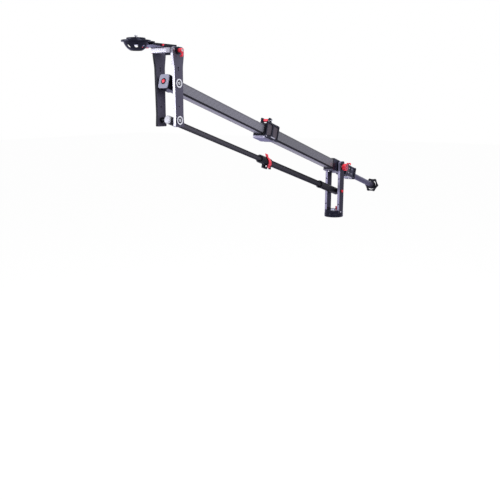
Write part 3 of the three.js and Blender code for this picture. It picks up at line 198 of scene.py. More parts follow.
def drawn_in(outline, distance):
    """Each point moved inwards along the sum n of its two sides' normals, by 2 distance n / (n . n), so
    that both sides move by distance."""
    side = np.roll(outline, -1, 0) - outline
    length = np.maximum(np.linalg.norm(side, axis=1), TINY)[:, None]
    normal = np.stack([-side[:, 1], side[:, 0]], -1) / length
    total = normal + np.roll(normal, 1, 0)
    return outline + total * (2 * distance / np.maximum((total**2).sum(1), LEAST_SUM))[:, None]


def rings(outlines, heights):
    """Outlines of equal count stacked at heights, as a grid."""
    return np.stack([np.column_stack([line, np.full(len(line), h)]) for line, h in zip(outlines, heights)])


def sheet(loops, height):
    """A flat face between an outline and the holes in it, in triangles."""
    flat = [list(map(Vector, np.pad(loop, ((0, 0), (0, 1))))) for loop in loops]
    triangles = np.array(tessellate_polygon(flat))
    points = np.concatenate(loops)
    return np.column_stack([points, np.full(len(points), height)]), [(triangles, points[triangles])]


def plate(outline, low, high, edge, holes=(), pockets=()):
    """A piece with one outline from low to high. Its edges are quarter circles: at angle a it is drawn in
    by edge (1 - sin a) at a height edge (1 - cos a) from the face. Holes go through, with their edges
    rounded the other way, and pockets, given as (outline, depth), go down from the high face."""
    a = np.linspace(0, np.pi / 2, EDGE_STEPS + 1)
    inset, rise = edge * (1 - np.sin(a)), edge * (1 - np.cos(a))
    insets = np.concatenate([inset, inset[::-1]])
    heights = np.concatenate([low + rise, (high - rise)[::-1]])
    made = [skin(rings([drawn_in(outline, d) for d in insets], heights))]
    rims = [drawn_in(hole, -edge) for hole in holes]
    for hole in holes:
        made.append(skin(rings([drawn_in(hole, -d) for d in insets], heights)))
    mouths = []
    for pocket, depth in pockets:
        mouths.append(drawn_in(pocket, -edge))
        lines = [drawn_in(pocket, -d) for d in inset] + [drawn_in(pocket, d) for d in inset[::-1]]
        levels = np.concatenate([high - rise, (high - depth + rise)[::-1]])
        made.append(skin(rings(lines, levels)))
        made.append(sheet([drawn_in(pocket, edge)], high - depth))
    face = drawn_in(outline, edge)
    return made + [sheet([face, *rims], low), sheet([face, *rims, *mouths], high)]


def revolved(profile, edge=0.0, sides=SIDES, closed=False):
    """A profile of (radius, height) carried round Z: (r cos a, r sin a, h). Its corners are rounded by
    edge. A closed profile makes a ring, an open one starts and ends on the axis."""
    line = rounded(profile, edge, closed)
    ring = polar(line[:, :1], once_round(sides))
    height = np.broadcast_to(line[:, 1:, None], (len(line), sides, 1))
    return [skin(np.concatenate([ring, height], -1), along=closed)]


def disc(radius, low, high, edge=0.4, sides=SMALL_SIDES):
    return revolved([[0, low], [radius, low], [radius, high], [0, high]], edge, sides)


def washer(outer, inner, low, high, edge=0.3, sides=SIDES):
    return revolved([[inner, low], [outer, low], [outer, high], [inner, high]], edge, sides, closed=True)


def pipe(outer, inner, x0, x1):
    """A tube along X: its outer and inner outlines carried from end to end and joined there."""
    return put([skin(rings([outer, outer, inner, inner], [x0, x1, x1, x0]), along=True)], ALONG_X)


def socket_screw(radius, height, reach=0.0):
    """A socket screw's head on Z, a rounded disc with a six-sided pocket in its top, and its stem below."""
    socket, depth, stem, edge = radius * 0.52, height * 0.55, radius * 0.55, min(0.5, height / 4)
    head = plate(circle(radius), 0, height, edge, pockets=[(circle(socket, sides=HEX), depth)])
    return head + (disc(stem, -reach, height * 0.2) if reach else [])


def fluted(radius, low, high, flutes, depth, edge):
    """A grip round Z: its radius at angle a is r - depth (0.5 + 0.5 cos(flutes a))^3, and its ends are
    rounded and closed."""
    a = once_round(SIDES * 2)
    return plate(polar(radius - depth * (0.5 + 0.5 * np.cos(flutes * a)) ** 3, a), low, high, edge)


def carried(path, across, deep, power=3.0, sides=SMALL_SIDES):
    """A bar along a path in the XZ plane. At each point, with n the path's normal, it has a ring
    p + n (deep / 2) c + y (across / 2) s, where c and s are cos a and sin a with their sizes raised to
    2 / power. The first and last rings are drawn to a third of their size, then closed."""
    end_size = 1 / 3
    ahead = np.gradient(path, axis=0)
    ahead /= np.linalg.norm(ahead, axis=1)[:, None]
    normal = np.stack([-ahead[:, 1], ahead[:, 0]], -1)
    section = polar(1, once_round(sides))
    c, s = (np.sign(section) * np.abs(section) ** (2 / power)).T
    scale = np.ones(len(path))
    scale[[0, -1]] = end_size
    depth = (deep * scale / 2)[:, None]
    x = path[:, :1] + normal[:, :1] * depth * c
    z = path[:, 1:] + normal[:, 1:] * depth * c
    y = (across * scale / 2)[:, None] * s
    return [skin(np.stack([x, y, z], -1), ends=True)]


# Reading and writing meshes


def read(items, name, width=3, kind=np.float32):
    """One property of all of a mesh's items, a row for each."""
    values = np.empty(len(items) * width, kind)
    items.foreach_get(name, values)
    return values.reshape(-1, width)


def mark(mesh, name, domain, values):
    """A value for each point or face, which a material reads by its name."""
    mesh.attributes.new(name, "FLOAT", domain).data.foreach_set("value", values.astype(np.float32))


def local_points(mesh, place):
    """A mesh's vertices along a place's own axes, in millimetres."""
    m = np.array(place.inverted())
    return read(mesh.vertices, "co") / MM @ m[:3, :3].T + m[:3, 3]


def extent(node, place=WORLD):
    """Lowest and highest corner of a CAD node along a place's own axes, in millimetres."""
    local = local_points(frame["nodes"][node].data, place)
    return local.min(0), local.max(0)


def made_piece(name, mesh, body, kind, stands_for):
    """An object for a finished mesh, with a kind of finish: smooth but for its sharp edges, and on its body."""
    mesh.polygons.foreach_set("use_smooth", np.ones(len(mesh.polygons), bool))
    mesh.set_sharp_from_angle(angle=SMOOTH_ANGLE)
    mesh.materials.append(finish(kind))
    piece = bpy.data.objects.new(name, mesh)
    bpy.context.scene.collection.objects.link(piece)
    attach(piece, body)
    if stands_for:
        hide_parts(*stands_for)
    return piece


def merged(mesh, flatten=False):
    """Joins doubled points, turns the faces outwards and, where asked, joins the triangles of flat faces."""
    work = bmesh.new()
    work.from_mesh(mesh)
    bmesh.ops.remove_doubles(work, verts=work.verts, dist=JOIN_DISTANCE)
    bmesh.ops.dissolve_degenerate(work, edges=work.edges, dist=JOIN_DISTANCE / 2)
    if flatten:
        bmesh.ops.dissolve_limit(work, angle_limit=FLAT_ANGLE, verts=work.verts, edges=work.edges)
    bmesh.ops.recalc_face_normals(work, faces=work.faces)
    work.to_mesh(mesh)
    work.free()


def piece(name, skins, place, body, kind, *stands_for):
    """One piece from skins in millimetres, put in its place, with a kind of finish. Its map holds each
    corner's place on the skin in metres, and big flat faces keep their own normals beside rounded edges."""
    skins = put(skins, place)
    starts = np.cumsum([0] + [len(points) for points, _ in skins[:-1]])
    polygons = [(faces + start, places) for (_, sets), start in zip(skins, starts) for faces, places in sets]
    mesh = bpy.data.meshes.new(name)
    mesh.from_pydata(np.concatenate([points for points, _ in skins]) * MM, [],
        [face for faces, _ in polygons for face in faces.tolist()])
    layer = mesh.uv_layers.new(name="UVMap")
    places = np.concatenate([places.reshape(-1, 2) for _, places in polygons]) * MM
    layer.data.foreach_set("uv", places.ravel())
    merged(mesh)
    made = made_piece(name, mesh, body, kind, stands_for)
    flats = made.modifiers.new("Flat faces", "WEIGHTED_NORMAL")
    flats.keep_sharp = True
    return made


def dress(kind, *nodes):
    """Merged copies of CAD nodes with their sharp edges broken by a small round, which stand for them."""
    for node in nodes:
        source = frame["nodes"][node]
        mesh = bpy.data.meshes.new(node + "_finished")
        corners = read(source.data.loops, "vertex_index", 1, np.int32).reshape(-1, 3)
        mesh.from_pydata(read(source.data.vertices, "co"), [], corners.tolist())
        merged(mesh, flatten=True)
        made = made_piece(node + "_finished", mesh, source["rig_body"], kind, [node])
        bevel = made.modifiers.new("Broken edges", "BEVEL")
        bevel.limit_method = "ANGLE"
        bevel.angle_limit = SMOOTH_ANGLE
        bevel.width = bpy.context.scene.jib_sizes.edge
        bevel.segments = 2
        bevel.harden_normals = True


def recolour(kind, *nodes):
    """CAD nodes whose shape is right and that only need their material."""
    for node in nodes:
        for slot in frame["nodes"][node].material_slots:
            slot.material = finish(kind)


# Colours and materials


CARBON = "Clear-coated carbon twill"
# The front square tube's finish is the rear one's with a lighter colour: painted light
LIT_CARBON = "Polished clear-coated carbon twill"
WOUND = "Wound carbon tube"
BLACK = "Bead-blasted black anodised aluminium"
GREY = "Bead-blasted grey anodised aluminium"
SMOKE = "Bead-blasted smoke anodised aluminium"
# The head plates share one grey finish: the near plate's edges get a painted highlight, the far plate's
# painted shade
HIGHLIGHT_EDGED = "Grey anodised plate with bare milled edges"
SHADE_EDGED = "Grey anodised plate with black edges"
LIGHT = "Bead-blasted light grey anodised aluminium"
FLOORS = "Milled and blasted pocket floor"
SILVER = "Bead-blasted clear anodised aluminium"
RED = "Polished red anodised aluminium"
STEEL = "Turned stainless steel"
NYLON = "Moulded black nylon"
ACETAL = "Moulded pale acetal"
GREY_ACETAL = "Moulded grey acetal"
RUBBER = "Moulded rubber"

# Woven kinds: colour, strength of the clear coat, painted highlight tone where it faces the eye and painted
# shade tone where it turns away. A wound tube's fibres run one way under a thin coat; it gets a painted
# highlight down its middle and painted shade at its sides.
WOVEN = {
    CARBON: ("carbon", 0.5, 1.0, 1.0),
    LIT_CARBON: ("polished", 0.5, 1.0, 1.0),
    WOUND: ("wound", 0.03, 8.0, 0.2),
}

# Grained kinds: colour, metallic, roughness, grain in mm, relief in mm, gloss
GRAINED = {
    # Machined, bead blasted and dyed black: a satin black with a soft pale sheen
    BLACK: ("black", 0.3, 0.28, 0.9, 0.006, 0.25),
    # The same with a thinner dye: dark grey, and brighter where it turns to the light
    GREY: ("grey", 0.5, 0.38, 0.9, 0.01, 0.35),
    # A thicker plate of another batch, dyed longer: nearly black, with a pale painted highlight on its cut
    # edges
    SMOKE: ("smoke", 0.5, 0.36, 0.9, 0.01, 0.15),
    # Water cut from grey dyed plate and milled round: grey sides, and a bright painted highlight on its edges
    HIGHLIGHT_EDGED: ("grey", 0.5, 0.38, 0.9, 0.01, 0.35),
    # The same plate with painted shade on its edges, so that they show as dark lines
    SHADE_EDGED: ("grey", 0.45, 0.42, 0.9, 0.01, 0.15),
    # Blasted and dyed for a short time: a mid grey that takes the colour of the floor below it
    LIGHT: ("light", 0.5, 0.4, 1.2, 0.002, 0.4),
    # Machined after dyeing and blasted again: the floors of pockets, dull and a little paler
    FLOORS: ("floors", 0.2, 0.5, 0.9, 0.01, 0.3),
    # Bead blasted and left undyed: a pale grey that takes the colour of what is round it
    SILVER: ("silver", 0.45, 0.42, 1.2, 0.002, 0.4),
    # Turned, polished, then dyed: a clear bright red with sharp highlights
    RED: ("red", 0.1, 0.26, 0.7, 0.004, 0.5),
    # Turned on a lathe: fine rings and hard highlights
    STEEL: ("steel", 1.0, 0.24, 0.5, 0.01, 0.5),
    # Injection moulded with a spark-eroded texture: matt, with broad dull highlights
    NYLON: ("plastic", 0.0, 0.32, 0.8, 0.01, 0.1),
    # Injection moulded smooth: even, pale and slightly glossy
    ACETAL: ("pale", 0.0, 0.38, 1.2, 0.002, 0.4),
    # The same in grey: even and a little duller
    GREY_ACETAL: ("cap", 0.0, 0.42, 1.2, 0.002, 0.35),
    # Pressed rubber: dull, and darker than the metal beside it
    RUBBER: ("rubber", 0.0, 0.8, 0.6, 0.04, 0.3),
}
# Colours painted on the plates' cut edges: the pale ones are a painted highlight, the dark one painted shade
EDGE_PAINT = {SMOKE: "cut", HIGHLIGHT_EDGED: "silver", SHADE_EDGED: "rubber"}
# Lathe marks are drawn out round the part; other grains are even
STRETCH = {STEEL: (1, 6, 1)}
# How far the tone clouds to each side: pale finishes are even
MOTTLE, PALE_MOTTLE = 0.16, 0.05
PALE = (SILVER, LIGHT, ACETAL, GREY_ACETAL)
# Real blasting and lathe marks are 0.1 to 0.3 mm wide. The grains above are coarser, and are drawn at twice
# their size, because a finer one would not show at the photo's scale.
DRAWN_COARSER = 2


def linear(code):
    """sRGB hex colour to linear RGBA: c / 12.92 up to 0.04045, else ((c + 0.055) / 1.055) ** 2.4."""
    c = np.array([int(code[i : i + 2], 16) for i in (1, 3, 5)]) / 255
    c = np.where(c <= 0.04045, c / 12.92, ((c + 0.055) / 1.055) ** 2.4)
    return (*c.tolist(), 1.0)


def add(tree, kind, inputs=None, **settings):
    """Adds a shader node of a kind, sets its settings, and fills its inputs with values, sockets or the
    first output in use of other nodes."""
    node = tree.nodes.new("ShaderNode" + kind)
    for key, value in settings.items():
        setattr(node, key, value)
    for key, value in (inputs or {}).items():
        if isinstance(value, bpy.types.Node):
            value = next(socket for socket in value.outputs if socket.enabled)
        if isinstance(value, bpy.types.NodeSocket):
            tree.links.new(value, node.inputs[key])
        else:
            node.inputs[key].default_value = value
    return node


def new_material(name):
    """A material without nodes but its output."""
    material = bpy.data.materials.new(name)
    material.use_nodes = True
    tree = material.node_tree
    tree.nodes.clear()
    return material, tree, add(tree, "OutputMaterial")


def shade(colour, factor):
    """A linear colour made darker or lighter by a factor."""
    return (*(min(c * factor, 1.0) for c in colour[:3]), 1.0)


def grained(name, colour, metallic, roughness, grain, height, gloss, cut=None):
    """A surface with a fine grain of a size and height in metres: its tone clouds to both sides, its
    roughness and relief follow the grain, and painted shade darkens its inner corners. gloss is the strength
    of its mirror image seen straight on, which a dyed oxide skin turns slightly blue. cut is the colour
    painted on the edges that mark_edges picks out: a pale one is a painted highlight, a dark one painted
    shade. The clouds are 25 grains wide."""
    cloud_scale, grain_scale, wear_range, shade_reach, darkest_shade = 0.04, 0.5, (0.8, 1.2), 5 * MM, 0.35
    material, tree, out = new_material(name)
    mottle = PALE_MOTTLE if name in PALE else MOTTLE
    place = add(tree, "TexCoord").outputs["Object"]
    drawn = add(tree, "Mapping", {"Vector": place, "Scale": STRETCH.get(name, (1, 1, 1))})
    clouds = add(tree, "TexNoise", {"Vector": drawn, "Scale": cloud_scale / grain, "Detail": 3.0})
    grains = add(tree, "TexNoise", {"Vector": drawn, "Scale": grain_scale / grain, "Detail": 2.0})
    tone = add(tree, "Mix", {"Factor": clouds, "A": shade(colour, 1 - mottle),
        "B": shade(colour, 1 + mottle)}, data_type="RGBA")
    # The marked edges are painted: pale ones as a highlight, dark ones as shade
    if cut:
        painted = add(tree, "Attribute", attribute_name="cut_edge").outputs["Fac"]
        tone = add(tree, "Mix", {"Factor": painted, "A": tone, "B": cut}, data_type="RGBA")
    wear = add(tree, "MapRange", {"Value": grains, "From Min": 0.3, "From Max": 0.7,
        "To Min": roughness * wear_range[0], "To Max": roughness * wear_range[1]})
    relief = add(tree, "Bump", {"Height": grains, "Distance": height, "Strength": 0.5})
    # Painted shade: an ambient occlusion term darkens the colour in inner corners and pockets
    painted_nook_shade = add(tree, "AmbientOcclusion", {"Distance": shade_reach}, samples=6).outputs["AO"]
    depth = add(tree, "MapRange", {"Value": painted_nook_shade, "From Min": darkest_shade, "To Min": darkest_shade})
    shaded = add(tree, "VectorMath", {0: tone, "Scale": depth}, operation="SCALE")
    shader = add(tree, "BsdfPrincipled", {"Base Color": shaded, "Metallic": metallic,
        "Roughness": wear, "Normal": relief, "Specular IOR Level": gloss, "Specular Tint": linear("#d8dcff")})
    tree.links.new(shader.outputs["BSDF"], out.inputs["Surface"])
    return material


def carbon_twill(name, colour, clear, painted_lit_face, painted_side_shade, tow_width):
    """Clear-coated carbon fibre in 2 x 2 twill, wound as flat tows and coated: steps of four tows, two over
    and two under, give diagonal ribs, and the coat mirrors pale surroundings at low angles. The tone is
    painted: a painted highlight where the surface faces the eye, going to painted shade as it turns away.
    Real tows are 2 to 3 mm wide; tow_width draws them at least twice that, to show at the photo's scale."""
    tow_tones, edge_tones, fibre_tones, corner_shade_tone = (0.95, 1.05), (0.72, 0.97), (0.75, 1.25), 0.12
    fibre_roughness, coat_roughness, crown_height = (0.34, 0.5), 0.2, 0.05 * MM
    material, tree, out = new_material(name)
    place = add(tree, "UVMap", uv_map="UVMap")
    tows = add(tree, "VectorMath", {"Vector": place, "Scale": 1 / tow_width}, operation="SCALE")
    along = add(tree, "SeparateXYZ", {"Vector": tows})
    cell = add(tree, "VectorMath", {0: tows}, operation="FLOOR")
    index = add(tree, "SeparateXYZ", {"Vector": cell})
    stepped = add(tree, "Math", {0: index.outputs["X"], 1: index.outputs["Y"]}, operation="ADD")
    four = add(tree, "Math", {0: stepped, 1: 4.0}, operation="FLOORED_MODULO")
    over = add(tree, "Math", {0: four, 1: 1.5}, operation="LESS_THAN")
    crowns = []
    for axis in "XY":
        inside = add(tree, "Math", {0: along.outputs[axis]}, operation="FRACT")
        turn = add(tree, "Math", {0: inside, 1: np.pi}, operation="MULTIPLY")
        crowns.append(add(tree, "Math", {0: turn}, operation="SINE"))
    height = add(tree, "Mix", {"Factor": over, "A": crowns[0], "B": crowns[1]}, data_type="FLOAT")
    fibre = add(tree, "TexNoise", {"Vector": place, "Scale": 2 / tow_width, "Detail": 2.0})
    tow = add(tree, "Mix", {"Factor": over, "A": shade(colour, tow_tones[0]),
        "B": shade(colour, tow_tones[1])}, data_type="RGBA")
    edge = add(tree, "MapRange", {"Value": height, "To Min": edge_tones[0], "To Max": edge_tones[1]})
    mottle = add(tree, "MapRange", {"Value": fibre, "To Min": fibre_tones[0], "To Max": fibre_tones[1]})
    # A square tube's rounded corners get dark lines along them, a painted dark reflection
    corner = add(tree, "Attribute", attribute_name="corner").outputs["Fac"]
    painted = add(tree, "MapRange", {"Value": corner, "To Min": 1.0, "To Max": corner_shade_tone})
    # Painted sheen: the tone is raised where the surface faces the eye and lowered where it turns away
    turn = add(tree, "LayerWeight", {"Blend": 0.5}).outputs["Facing"]
    painted_sheen = add(tree, "MapRange", {"Value": turn, "From Min": 0.05, "From Max": 0.6,
        "To Min": painted_lit_face, "To Max": painted_side_shade})
    # The tone is the weave's, times random fibre mottle, the painted corner reflection and the painted sheen
    light = edge
    for share in (mottle, painted, painted_sheen):
        light = add(tree, "Math", {0: light, 1: share}, operation="MULTIPLY")
    coat = add(tree, "Math", {0: painted, 1: clear}, operation="MULTIPLY")
    tone = add(tree, "VectorMath", {0: tow, "Scale": light}, operation="SCALE")
    relief = add(tree, "Bump", {"Height": height, "Distance": crown_height, "Strength": 0.35})
    rough = add(tree, "MapRange", {"Value": fibre, "To Min": fibre_roughness[0],
        "To Max": fibre_roughness[1]})
    shader = add(tree, "BsdfPrincipled", {"Base Color": tone, "Metallic": 0.15, "Roughness": rough,
        "Normal": relief, "Coat Weight": coat, "Specular IOR Level": coat, "Coat Roughness": coat_roughness,
        "Specular Tint": linear("#e4e4ff")})
    tree.links.new(shader.outputs["BSDF"], out.inputs["Surface"])
    return material


def finish(kind):
    """The material of a kind, made once from the colours and sizes that the user set."""
    if kind in bpy.data.materials:
        return bpy.data.materials[kind]
    colours, sizes = bpy.context.scene.jib_colours, bpy.context.scene.jib_sizes
    if kind in WOVEN:
        colour, clear, painted_lit_face, painted_side_shade = WOVEN[kind]
        return carbon_twill(kind, getattr(colours, colour), clear, painted_lit_face, painted_side_shade, sizes.tow_width)
    colour, metallic, roughness, grain, height, gloss = GRAINED[kind]
    cut = getattr(colours, EDGE_PAINT[kind]) if kind in EDGE_PAINT else None
    return grained(kind, getattr(colours, colour), metallic, roughness, grain * MM * DRAWN_COARSER,
        height * MM, gloss, cut)


class JibSizes(bpy.types.PropertyGroup):
    edge: FloatProperty(name="Broken edge", description="Round on the machined edges", default=0.7 * MM,
        min=0.1 * MM, max=2 * MM, subtype="DISTANCE", unit="LENGTH")
    tow_width: FloatProperty(name="Tow width", description="Width of one woven tow of the carbon tubes",
        default=6 * MM, min=1 * MM, max=20 * MM, subtype="DISTANCE", unit="LENGTH")
    flute_depth: FloatProperty(name="Flute depth", description="Depth of the lock knobs' grip flutes",
        default=2 * MM, min=0, max=3 * MM, subtype="DISTANCE", unit="LENGTH")


def colour_property(name, description, code):
    return FloatVectorProperty(name=name, description=description, default=linear(code), size=4, min=0, max=1,
        subtype="COLOR")


class JibColours(bpy.types.PropertyGroup):
    carbon: colour_property("Rear square tube", "Colour of the woven rear square tube", "#5a5a5f")
    # The front tube's colour is the rear tube's made lighter: painted light
    polished: colour_property("Front square tube", "Colour of the woven front square tube", "#6e6d78")
    wound: colour_property("Round tubes", "Colour of the wound round tubes", "#2a292e")
    black: colour_property("Black metal", "Colour of the drum, clamps, bowl and platform", "#15151f")
    grey: colour_property("Grey metal", "Colour of the head plates and counterweight bar", "#504d5c")
    smoke: colour_property("Smoke metal", "Colour of the yoke plates", "#272321")
    # The yoke plates' pale edge colour is a painted highlight
    cut: colour_property("Cut edges", "Colour of the yoke plates' edges", "#85829a")
    floors: colour_property("Pocket floors", "Colour of the milled floors of the clamps' pockets", "#4e474e")
    light: colour_property("Light grey metal", "Colour of the middle shoe and platform underside", "#77748a")
    # On the near head plate's edges this colour is a painted highlight
    silver: colour_property("Clear metal", "Colour of the hinge bar, rear shoe and bare edges", "#b4b3c0")
    red: colour_property("Red metal", "Colour of the levers, knobs and button", "#ea3644")
    steel: colour_property("Steel", "Colour of the screws and bolts", "#c6c6cb")
    plastic: colour_property("Black plastic", "Colour of the sleeves and hand wheel", "#101014")
    pale: colour_property("Pale plastic", "Colour of the lower cap and bearing rings", "#cfcfda")
    cap: colour_property("Grey plastic", "Colour of the upper arm's end cap", "#9494a8")
    # On the far head plate's edges this colour is painted shade
    rubber: colour_property("Rubber", "Colour of the telescope's gasket and the black edges", "#131315")


# Pieces that the clamps and blocks share


def screw_head(name, node, place, axis, face, way, height, reach, body):
    """A socket screw that stands for its CAD node: in the node's middle, but on face along an axis."""
    low, high = extent(node, place)
    middle = (low + high) / 2
    middle[axis] = face
    place = place @ moved(*middle) @ way
    piece(name, socket_screw((high[0] - low[0]) / 2, height, reach), place, body, STEEL, node)


def shoe(name, node, kind, edge):
    """A flat plate under the upper arm, as large as its CAD node. Gives the height of its lower face."""
    low, high = extent(node, UPPER)
    outline = rectangle(low[0], high[0], low[1], high[1], SHOE_CORNER)
    piece(name, plate(outline, low[2], high[2], edge), UPPER, "boom", kind, node)
    return low[2]


def cross_plate(name, node, corner, edge, opening, body, kind):
    """A plate with an opening across the upper arm, as large as its CAD node. Gives the node's extent."""
    low, high = extent(node, UPPER)
    outline = rectangle(low[1], high[1], low[2], high[2], corner)
    piece(name, plate(outline, low[0], high[0], edge, holes=[opening]), UPPER @ ALONG_X, body, kind, node)
    return low, high


def lever(boss, reach=30.0):
    """A clamp lever on Z: a boss with a sunk end, and a handle along X that rises a little and curls back
    down to its foot. The handle is a rounded bar carried along that path, thinner towards its tip."""
    radius, groove, bore, sunk = 6.6, 6.0, 4.9, boss - 1.2
    end = revolved([[0, 0], [radius, 0], [radius, boss - 3.4], [groove, boss - 3], [radius, boss - 2.6],
        [radius, boss], [bore, boss], [bore, sunk], [0, sunk]], 0.5)
    path = rounded([[0, boss - 4.6], [3, boss - 4.6], [reach / 2, boss - 3.4], [reach - 3.2, boss - 3.8],
        [reach - 3.4, 5], [reach - 3, 1.6]], 5, closed=False)
    share = np.linspace(0, 1, len(path))
    return end + carried(path, 7 - 1.5 * share, 7 - 2 * share)


def screwed_lever(name, screw_name, place, body, node, reach, depth):
    """A lever on a steel washer, with a bright socket screw sunk in its boss that goes down to a depth."""
    piece(name, put(lever(LEVER_BOSS, reach), moved(z=LEVER_WASHER)), place, body, RED, node)
    head = put(socket_screw(4.2, 1.6), moved(z=LEVER_BOSS - 2.2 + LEVER_WASHER))
    metal = disc(7.2, 0, LEVER_WASHER, 0.2) + disc(2.6, -depth, 1) + head
    piece(screw_name, metal, place, body, STEEL)


def pocket_pair(x0, x1, y0, y1):
    """Two mirror-image pockets side by side, each deeper away from their shared rib."""
    share, taper, corner = 0.1, 0.82, 5
    margin, rib, middle = (y1 - y0) * share, (x1 - x0) * share, (x0 + x1) / 2
    low, high = y0 + margin, y1 - margin
    inner = high - (high - low) * taper
    side = middle - rib / 2
    rear = np.array([[x0 + margin, low], [side, inner], [side, high], [x0 + margin, high]])
    front = np.stack([x0 + x1 - rear[::-1, 0], rear[::-1, 1]], -1)
    return [rounded(rear, corner), rounded(front, corner)]


def pocket_floors(x0, x1, z0, z1, face, first=0):
    """Thin plates on the floors of a pocket pair, or of its front one where first is one, and of the
    mirror image."""
    lines = pocket_pair(x0, x1, z0, z1)[first:]
    low, high = face - POCKET_DEPTH - 0.1, face - POCKET_DEPTH + 0.2
    thin = [plate(drawn_in(line, 0.8), low, high, 0.1) for line in lines]
    return both_sides(put(sum(thin, []), UPRIGHT))


def mark_edges(plate_piece, holes=8, ends=3):
    """Sets the painted edge value of each face, where a plate's finish puts its painted edge colour: one
    where it looks along the plate, nought on its two sides and in its holes, which lie within holes of the
    middle line and further than ends from both ends, in mm."""
    mesh = plate_piece.data
    x, _, z = read(mesh.polygons, "center").T / MM
    aside = np.abs(x - (x.min() + x.max()) / 2) > holes
    outside = aside | (z < z.min() + ends) | (z > z.max() - ends)
    mark(mesh, "cut_edge", "FACE", (np.abs(read(mesh.polygons, "normal")[:, 1]) < 0.5) & outside)


# Pan base


class JIB_OT_pan_base(bpy.types.Operator):
    """Drum, turntable and their lock knob"""
    bl_idname = "jib.pan_base"
    bl_label = "Pan base"

    def execute(self, context):
        (_, _, low), (radius, _, _) = extent("base_drum")
        _, (_, _, top) = extent("turntable")
        drum_top, thread, spigot, track, track_depth = 15, 4.76, 13, (27, 37), 1.5
        drum = revolved([[0, 11], [thread, 11], [thread, low], [radius - 0.6, low], [radius, 1.2],
            [radius, 5.4], [radius - 0.7, 6], [radius - 0.7, 7], [radius, 7.6], [radius, drum_top],
            [track[1], drum_top], [track[1], drum_top - track_depth], [track[0], drum_top - track_depth],
            [track[0], drum_top], [spigot, drum_top], [spigot, 30.6], [0, 30.6]], 0.5, SIDES * 2)
        piece("drum_body", drum, WORLD, "base", BLACK, "base_drum")
        rim, bore = drum_top + GAP, spigot + 0.4
        step, waist = 18.6, radius - 1.6
        lower = revolved([[bore, rim], [track[0], rim], [track[0], rim + track_depth],
            [track[1], rim + track_depth], [track[1], rim], [radius, rim], [radius - 0.4, step - 1],
            [waist, step], [bore, step]], 0.3, SIDES * 2, closed=True)
        notch, seat = 22.8, 27.7
        a = np.arccos(notch / waist)
        front = polar(waist, np.linspace(-a, a, SIDES))
        side = np.array([[notch, seat], [-notch, seat]])
        outline = np.concatenate([front, side, -front, -side])
        upper = plate(outline, step, top, 1.2, holes=[circle(19.4, sides=SIDES)])
        piece("turntable_body", lower + upper, WORLD, "pan", BLACK, "turntable")
        recolour(ACETAL, "pan_bearing_ring")
        recolour(STEEL, "pan_retainer")
        (x0, y0, _), (x1, y1, knob_top) = extent("pan_lock_knob")
        grip = fluted((x1 - x0) / 2, top + GAP, knob_top, 10, 0.6, 0.8)
        knob = put(grip + disc(3, top - 5, top + 1), moved((x0 + x1) / 2, (y0 + y1) / 2))
        piece("pan_lock_knob_grip", knob, WORLD, "pan_lock", RED, "pan_lock_knob")
        return {"FINISHED"}


